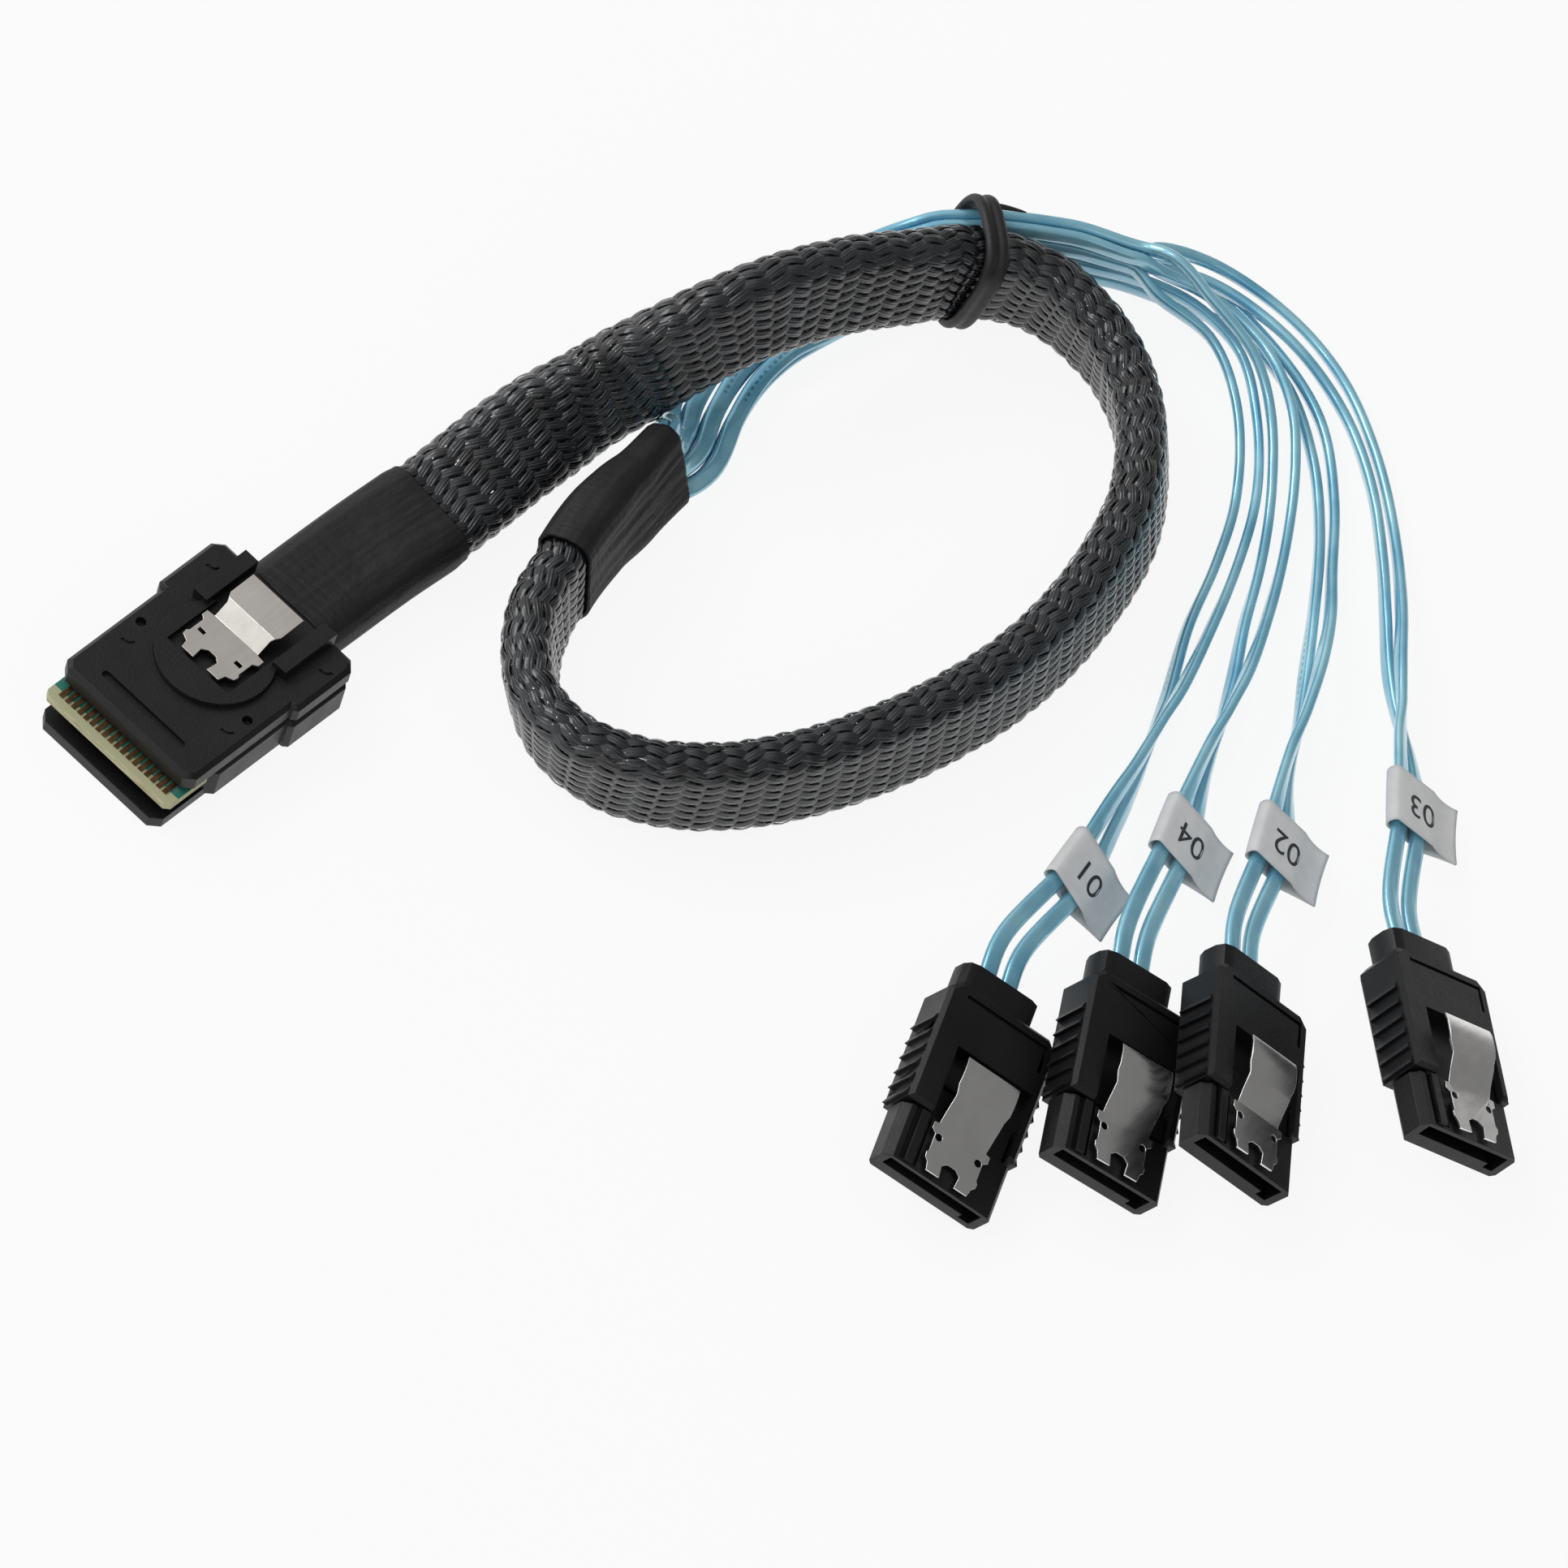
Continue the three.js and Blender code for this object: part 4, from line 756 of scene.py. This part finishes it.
def makeBraidTree(sizes):
    desk = NodeDesk("braid along a route", sizes)
    given = desk.given
    total = lengthOfGuide(desk)
    girth = desk.add("GeometryNodeCurveLength", Curve=desk.section()).outputs[0]
    crossing = desk.calc("MULTIPLY", given["Cell Length"], 0.5)
    count = desk.calc("MULTIPLY", desk.calc("DIVIDE", total, crossing), given["Steps Per Crossing"])
    size = {"Size_X": total, "Size_Y": given["Ribbon Width"], "Vertices_X": count}
    strip = desk.add("GeometryNodeMeshGrid", {"Vertices Y": 4}, **size).outputs[0]
    ribbon = desk.add("GeometryNodeGeometryToInstance", Geometry=strip).outputs[0]
    copies = desk.add("GeometryNodeDuplicateElements", {"domain": "INSTANCE"}, Geometry=ribbon)
    desk.plug(desk.calc("MULTIPLY", given["Strands"], 2), copies.inputs["Amount"])
    numbered = desk.add(
        "GeometryNodeStoreNamedAttribute", {"data_type": "FLOAT", "domain": "INSTANCE", "Name": "strand"},
        Geometry=copies.outputs[0], Value=copies.outputs["Duplicate Index"],
    ).outputs[0]
    flat = desk.add("GeometryNodeRealizeInstances", Geometry=numbered).outputs[0]
    strand = desk.field("strand")
    back = desk.calc("GREATER_THAN", strand, desk.calc("SUBTRACT", given["Strands"], 0.5))
    way = desk.calc("SUBTRACT", 1.0, desk.calc("MULTIPLY", back, 2.0))
    at = desk.add("ShaderNodeSeparateXYZ", Vector=desk.add("GeometryNodeInputPosition").outputs[0]).outputs
    along = desk.calc("ADD", at[0], desk.calc("MULTIPLY", total, 0.5))
    pitch = desk.calc("DIVIDE", girth, given["Strands"])
    slope = desk.calc("DIVIDE", pitch, given["Cell Length"])
    angle = desk.calc("ARCTANGENT", slope)
    shiftAlong = desk.calc("MULTIPLY", desk.calc("MULTIPLY", way, desk.calc("SINE", angle)), at[1])
    shiftAround = desk.calc("MULTIPLY", desk.calc("COSINE", angle), at[1])
    climb = desk.calc("MULTIPLY", way, desk.calc("MULTIPLY", along, slope))
    around = desk.calc("ADD", desk.calc("MULTIPLY", strand, pitch), climb)
    around = desk.calc("DIVIDE", desk.calc("ADD", around, shiftAround), girth)
    placed = desk.calc("SUBTRACT", along, shiftAlong)
    wave = desk.calc("COSINE", desk.calc("MULTIPLY", desk.calc("DIVIDE", along, crossing), pi))
    edge = desk.calc("DIVIDE", at[1], desk.calc("MULTIPLY", given["Ribbon Width"], 0.5))
    hill = desk.calc("SUBTRACT", 1.0, desk.calc("MULTIPLY", edge, edge))
    crown = desk.calc("MULTIPLY", hill, given["Crown"])
    over = desk.calc("MULTIPLY", desk.calc("MULTIPLY", wave, way), given["Lift"])
    lift = desk.calc("ADD", over, crown)
    mapped = storeUv(desk, flat, along, desk.calc("ADD", desk.calc("MULTIPLY", edge, 0.5), 0.5))
    desk.finish(wrapOnRoute(desk, mapped, placed, around, lift))
    return desk.tree


# where sleeve and shrinks begin and end along the trunk
reach = {
    "sleeveFrom": 14.4 * mm, "sleeveUnderEnd": 4 * mm, "plugShrinkFrom": 7.4 * mm, "plugShrinkTo": 29.1 * mm,
    "endShrinkShare": 3 / 40, "endShrinkShort": 0.2 * mm,
}
endShrinkFrom = trunkLength * (1 - reach["endShrinkShare"])
braidPath = cutRoute(wholeRoute, reach["sleeveFrom"], endShrinkFrom + reach["sleeveUnderEnd"], 420)
braidPiece = growAlong(makeBraidTree(braid), "sleeve_braid", braidPath, braid, finish["strand"])
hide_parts("braided_sleeve")
print("braid", len(braidPiece.data.polygons), "faces")

# leads
leads = []
for i, path in enumerate(leadPaths):
    sizes = dict(tubeSizes, Steps=len(path["point"]) - 1)
    piece = growAlong(tubeTree, f"blue_lead_{i + 1}", path, sizes, finish["lead"])
    capEnds(piece)
    turnOutward(piece)
    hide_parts(f"lead_{i + 1}")
    leads.append(piece)
print("leads", sum(len(p.data.polygons) for p in leads), "faces")

# heat shrinks
hostShrink = {
    "Width": 0.0128, "Height": 0.0062, "Radius": 0.0026, "Steps": 90, "Sides": 120,
    "Wrinkle": 0.0003, "Wrinkle Count": 9.0, "Taper": 0.08, "Mouth Wide": 0.975, "Mouth Thick": 0.95,
}
endShrink = {
    "Width": 0.0129, "Height": 0.0063, "Radius": 0.0026, "Steps": 90, "Sides": 120,
    "Wrinkle": 0.0006, "Wrinkle Count": 5.0, "Taper": 0.7, "Mouth Wide": 0.78, "Mouth Thick": 0.72,
}
shrinkWall = 0.4 * mm
hostShrinkPath = cutRoute(wholeRoute, reach["plugShrinkFrom"], reach["plugShrinkTo"], 60)
endShrinkPath = cutRoute(wholeRoute, endShrinkFrom, trunkLength - reach["endShrinkShort"], 60)
shrinks = []
for name, path, sizes, node in (
    ("plug_end_shrink", hostShrinkPath, hostShrink, "host_heat_shrink"),
    ("lead_end_shrink", endShrinkPath, endShrink, "end_heat_shrink"),
):
    piece = growAlong(tubeTree, name, path, sizes, finish["shrink"])
    turnOutward(piece)
    piece = thicken(piece, shrinkWall)
    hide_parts(node)
    shrinks.append(piece)
print("shrinks made")

# rubber band round trunk and leads, with two ridges and a pointed tail
band = {
    "row": 11, "wide": 2.8 * mm, "thick": 1.1 * mm, "deep": 10.7 * mm, "tall": 13.9 * mm, "shift": -1.4 * mm,
    "square": 3.2, "sides": 72, "tailSides": 10, "tailAt": (-3.9, 6.9, -1.2), "tailLean": 0.12,
    # place along the tail, width and thickness there, in millimetres
    "tail": [(-0.6, 0.9, 0.6), (0.6, 0.75, 0.5), (1.7, 0.55, 0.4), (2.7, 0.35, 0.3), (3.5, 0.12, 0.15)],
    # across the band, and height over its inner face, as shares
    "profile": [
        (-0.5, 0.0), (-0.5, 0.55), (-0.42, 0.85), (-0.28, 1.0), (-0.12, 0.9), (0, 0.68), (0.12, 0.9),
        (0.28, 1.0), (0.42, 0.85), (0.5, 0.55), (0.5, 0.0),
    ],
}


def frameAt(route, row):
    i = row * perSpan
    along = Vector(route["along"][i])
    level = Vector((along.y, -along.x, 0)).normalized()
    return Matrix((level, level.cross(along), -along)).transposed().to_4x4(), Vector(route["point"][i])


# closed rings of points become one skin, with its ends closed unless it runs back into itself
def skin(bm, rings, closed):
    follow = rings[1:] + rings[:1] if closed else rings[1:]
    for ring, after in zip(rings, follow):
        for k in range(len(ring)):
            m = (k + 1) % len(ring)
            bm.faces.new((ring[k], ring[m], after[m], after[k]))
    if not closed:
        bm.faces.new(rings[0])
        bm.faces.new(rings[-1])


def makeBand(b):
    turn, at = frameAt(wholeRoute, b["row"])
    bm = bmesh.new()
    rings = []
    for i in range(b["sides"]):
        a = 2 * pi * i / b["sides"]
        c, s = cos(a), sin(a)
        r = (abs(c) ** b["square"] + abs(s) ** b["square"]) ** (-1 / b["square"])
        x, y = r * c * b["deep"] / 2 + b["shift"], r * s * b["tall"] / 2
        n = Vector((c * b["tall"], s * b["deep"], 0)).normalized()
        ring = []
        for across, up in b["profile"]:
            p = Vector((x, y, across * b["wide"])) + n * (up - 0.5) * b["thick"]
            ring.append(bm.verts.new(turn @ p + at))
        rings.append(ring)
    skin(bm, rings, True)
    # tail, thinner toward its point
    x, y, z = b["tailAt"]
    tail = []
    for along, wide, thick in b["tail"]:
        loop = []
        for k in range(b["tailSides"]):
            a = 2 * pi * k / b["tailSides"]
            lean = b["tailLean"] * max(along, 0) ** 1.3
            p = Vector((x + cos(a) * wide / 2, y - lean + sin(a) * thick / 2, z - along)) * mm
            loop.append(bm.verts.new(turn @ p + at))
        tail.append(loop)
    skin(bm, tail, False)
    bmesh.ops.recalc_face_normals(bm, faces=bm.faces)
    mesh = bpy.data.meshes.new("lead_band")
    bm.to_mesh(mesh)
    bm.free()
    mesh.shade_smooth()
    mesh.materials.append(finish["rubber"])
    obj = bpy.data.objects.new("lead_band", mesh)
    scene.collection.objects.link(obj)
    mod = obj.modifiers.new("round", "SUBSURF")
    mod.levels = mod.render_levels = 1
    return bake(obj, "lead_band")


bandPiece = makeBand(band)
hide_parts("bundle_tie")
print("band made")

# paper flags, folded round each pair of leads
flag = {
    "long": 7.6 * mm, "tail": 3.9 * mm, "slack": 0.3 * mm, "paper": 0.12 * mm, "curl": 0.55 * mm,
    "apart": 0.1 * mm, "meet": 0.02 * mm, "steps": 12,
    "textSize": 4.2 * mm, "textAt": 0.9 * mm, "textDeep": 0.01 * mm,
}


def makeFlag(number, plug, pair, count):
    f = flag
    i = (count - 4) * perSpan
    wide, thick, along = (Vector(pair[k][i]) for k in ("wide", "thick", "along"))
    place = Matrix((wide, thick, -along)).transposed().to_4x4()
    place.translation = Vector(pair["point"][i])
    half = (leadSize["pairPitch"] + leadSize["wide"]) / 2 + f["slack"]
    high = leadSize["thick"] / 2 + f["slack"]
    tip = half + f["tail"]

    def settle(x, y, z):
        # the tail lifts and curls toward its corners
        out = max(0.0, (x - half) / f["tail"])
        side = z / (f["long"] / 2)
        return place @ Vector((x, -y - f["curl"] * (out**2 * 0.9 + 0.35 * side * side * (0.3 + out)), z))

    rise, fall = high - f["apart"], high - f["meet"]
    line = [(tip - f["tail"] * k / 8, f["apart"] + rise * (k / 8) ** 2) for k in range(9)]
    line += [(half - 2 * half * k / 8, high) for k in range(1, 8)]
    line += [(-half - high * 0.6 * sin(pi * k / 6), high * cos(pi * k / 6)) for k in range(7)]
    line += [(-half + 2 * half * k / 8, -high) for k in range(1, 9)]
    line += [(half + f["tail"] * k / 8, -f["meet"] - fall * (1 - k / 8) ** 2) for k in range(1, 9)]
    bm = bmesh.new()
    rows = []
    for s in range(f["steps"] + 1):
        z = (s / f["steps"] - 0.5) * f["long"]
        rows.append([bm.verts.new(settle(x, y, z)) for x, y in line])
    for a, b in zip(rows, rows[1:]):
        for k in range(len(line) - 1):
            bm.faces.new((a[k], a[k + 1], b[k + 1], b[k]))
    mesh = bpy.data.meshes.new(f"flag_{number}")
    bm.to_mesh(mesh)
    bm.free()
    mesh.shade_smooth()
    mesh.materials.append(finish["paper"])
    obj = bpy.data.objects.new(f"flag_{number}", mesh)
    scene.collection.objects.link(obj)
    mod = obj.modifiers.new("sheet", "SOLIDIFY")
    mod.thickness = f["paper"]
    mod.offset = 0
    obj = bake(obj, f"flag_{number}")

    curve = bpy.data.curves.new(f"numeral_{number}", "FONT")
    curve.body = plug["number"]
    curve.size = f["textSize"]
    curve.align_x, curve.align_y = "CENTER", "CENTER"
    curve.extrude = f["textDeep"]
    text = bpy.data.objects.new(f"numeral_{number}", curve)
    scene.collection.objects.link(text)
    text = bake(text, f"numeral_{number}")
    for v in text.data.vertices:
        x = f["textAt"] - v.co.x
        top = high if x < half else f["apart"] + rise * max(0.0, (tip - x) / f["tail"]) ** 2
        v.co = settle(x, top + f["paper"] / 2 + 2 * f["textDeep"] + v.co.z, -v.co.y)
    text.data.materials.clear()
    text.data.materials.append(finish["ink"])
    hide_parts(f"label_{number}")
    return obj, text


flags = [makeFlag(i + 1, plug, *pairPaths[i]) for i, plug in enumerate(drivePlugs)]
print("flags made")


# moulded and stamped pieces: the CAD shape with its edges rounded off, as far as the shortest edges allow;
# on the drive grips that is next to nothing
edges = {
    "host_top_shell": (0.22, "plastic"), "host_bottom_shell": (0.16, "plastic"), "host_latch": (0.06, "leaf"),
    "paddle_card": (0.05, "card"), "strain_block": (0.2, "shrink"),
}
for i in range(1, 5):
    edges[f"drive_grip_{i}"] = (0.2, "plastic")
    edges[f"drive_shell_{i}"] = (0.14, "plastic")
    edges[f"drive_latch_{i}"] = (0.06, "bright")


def roundOff(node, radius, look):
    bm = bmesh.new()
    bm.from_mesh(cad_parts[node].data)
    bmesh.ops.remove_doubles(bm, verts=bm.verts, dist=2e-6)
    bmesh.ops.dissolve_limit(bm, angle_limit=radians(0.5), verts=bm.verts, edges=bm.edges)
    mesh = bpy.data.meshes.new(node + "_rounded")
    bm.to_mesh(mesh)
    bm.free()
    mesh.shade_smooth()
    mesh.materials.append(finish[look])
    obj = bpy.data.objects.new(node + "_rounded", mesh)
    scene.collection.objects.link(obj)
    mod = obj.modifiers.new("edge", "BEVEL")
    mod.width = radius * mm
    mod.segments = 2
    mod.limit_method = "ANGLE"
    mod.angle_limit = radians(32)
    mod.miter_outer = "MITER_ARC"
    even = obj.modifiers.new("even", "WEIGHTED_NORMAL")
    even.weight = 90
    obj = bake(obj, node + "_rounded")
    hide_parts(node)
    return obj


rounded = {node: roundOff(node, *values) for node, values in edges.items()}
for node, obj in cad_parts.items():
    if "contact" in node:
        obj.data.materials.clear()
        obj.data.materials.append(finish["pads" if "pads" in node else "gold"])
print("plugs rounded off")

# riding and declaring
home = "cable"
bodyOf = {"host_latch": "host_latch_body"}
for i in range(1, 5):
    bodyOf[f"drive_latch_{i}"] = f"drive_latch_body_{i}"
for node, obj in rounded.items():
    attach(obj, bodyOf.get(node, home))
for obj in [braidPiece, bandPiece, *leads, *shrinks, *[p for pair in flags for p in pair]]:
    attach(obj, home)
print("cords declared")

# floor, light and background
stageSetup = {
    "floor": 3.0, "floorColour": (0.86, 0.87), "floorGlow": 0.9, "ambient": 0.42, "aim": (-0.05, 0.05, 0),
    "brightSide": (0.35, -0.8, 0.5), "glossFrom": 0.1, "glossTo": 0.95, "glossDim": 0.22,
}
lamps = {
    "key": {"at": (0.1, -0.52, 0.58), "size": (0.5, 0.25), "power": 1.9},
    "fill": {"at": (0.45, 0.5, 0.5), "size": (0.6, 0.4), "power": 0.5},
    "glint": {"at": (0.3, -0.1, 0.7), "size": (0.05, 0.05), "power": 0.35},
}


# rays that look at the background itself, and not at what it lights
def lookingRays(tree):
    rays = tree.nodes.new("ShaderNodeLightPath").outputs
    glossy = sums(tree, "MAXIMUM", rays["Is Glossy Ray"], rays["Is Transmission Ray"])
    return rays, sums(tree, "MAXIMUM", rays["Is Camera Ray"], glossy)


def makeFloor(s):
    bm = bmesh.new()
    bmesh.ops.create_grid(bm, x_segments=1, y_segments=1, size=s["floor"])
    mesh = bpy.data.meshes.new("floor")
    bm.to_mesh(mesh)
    bm.free()
    mat, tree, shader = newMaterial("pale floor", Roughness=0.9)
    low, high = ((c, c, c) for c in s["floorColour"])
    paint(tree, shader, grain(tree, objectPlace(tree), 3, 2), [(0.3, low), (0.7, high)])
    seen = lookingRays(tree)[1]
    glow = wire(tree, "ShaderNodeEmission", {"Strength": 1.0})
    mix = wire(tree, "ShaderNodeMixShader")
    tree.links.new(sums(tree, "MULTIPLY", seen, s["floorGlow"]), mix.inputs[0])
    tree.links.new(shader.outputs[0], mix.inputs[1])
    tree.links.new(glow.outputs[0], mix.inputs[2])
    tree.links.new(mix.outputs[0], tree.nodes["Material Output"].inputs["Surface"])
    mesh.materials.append(mat)
    floor = bpy.data.objects.new("floor", mesh)
    scene.collection.objects.link(floor)


def makeWorld(s):
    world = bpy.data.worlds.new("studio")
    scene.world = world
    world.use_nodes = True
    tree = world.node_tree
    rays, seen = lookingRays(tree)
    # a bright side and a dim side, so that gloss has something to show
    way = tree.nodes.new("ShaderNodeTexCoord").outputs["Generated"]
    side = wire(tree, "ShaderNodeVectorMath", {"operation": "DOT_PRODUCT"}, Vector=way)
    side.inputs[1].default_value = s["brightSide"]
    settings = {"interpolation_type": "SMOOTHSTEP", "To Min": s["glossDim"]}
    settings.update({"From Min": s["glossFrom"], "From Max": s["glossTo"]})
    gloss = wire(tree, "ShaderNodeMapRange", settings, Value=side.outputs["Value"])
    mirrored = sums(tree, "MULTIPLY", rays["Is Glossy Ray"], gloss.outputs["Result"])
    plain = sums(tree, "ADD", rays["Is Camera Ray"], rays["Is Transmission Ray"])
    lit = sums(tree, "MULTIPLY", sums(tree, "SUBTRACT", 1.0, seen), s["ambient"])
    strength = sums(tree, "ADD", sums(tree, "ADD", plain, mirrored), lit)
    tree.links.new(strength, tree.nodes["Background"].inputs["Strength"])
    tree.nodes["Background"].inputs["Color"].default_value = (1, 1, 1, 1)


def makeLamp(name, at, size, power):
    data = bpy.data.lights.new(name, "AREA")
    data.shape = "RECTANGLE"
    data.size, data.size_y = size
    data.energy = power
    obj = bpy.data.objects.new(name, data)
    scene.collection.objects.link(obj)
    obj.location = at
    obj.rotation_euler = (Vector(stageSetup["aim"]) - Vector(at)).to_track_quat("-Z", "Y").to_euler()


makeFloor(stageSetup)
makeWorld(stageSetup)
for name, lamp in lamps.items():
    makeLamp(name, **lamp)
scene.view_settings.view_transform = "Standard"
print("stage ready")
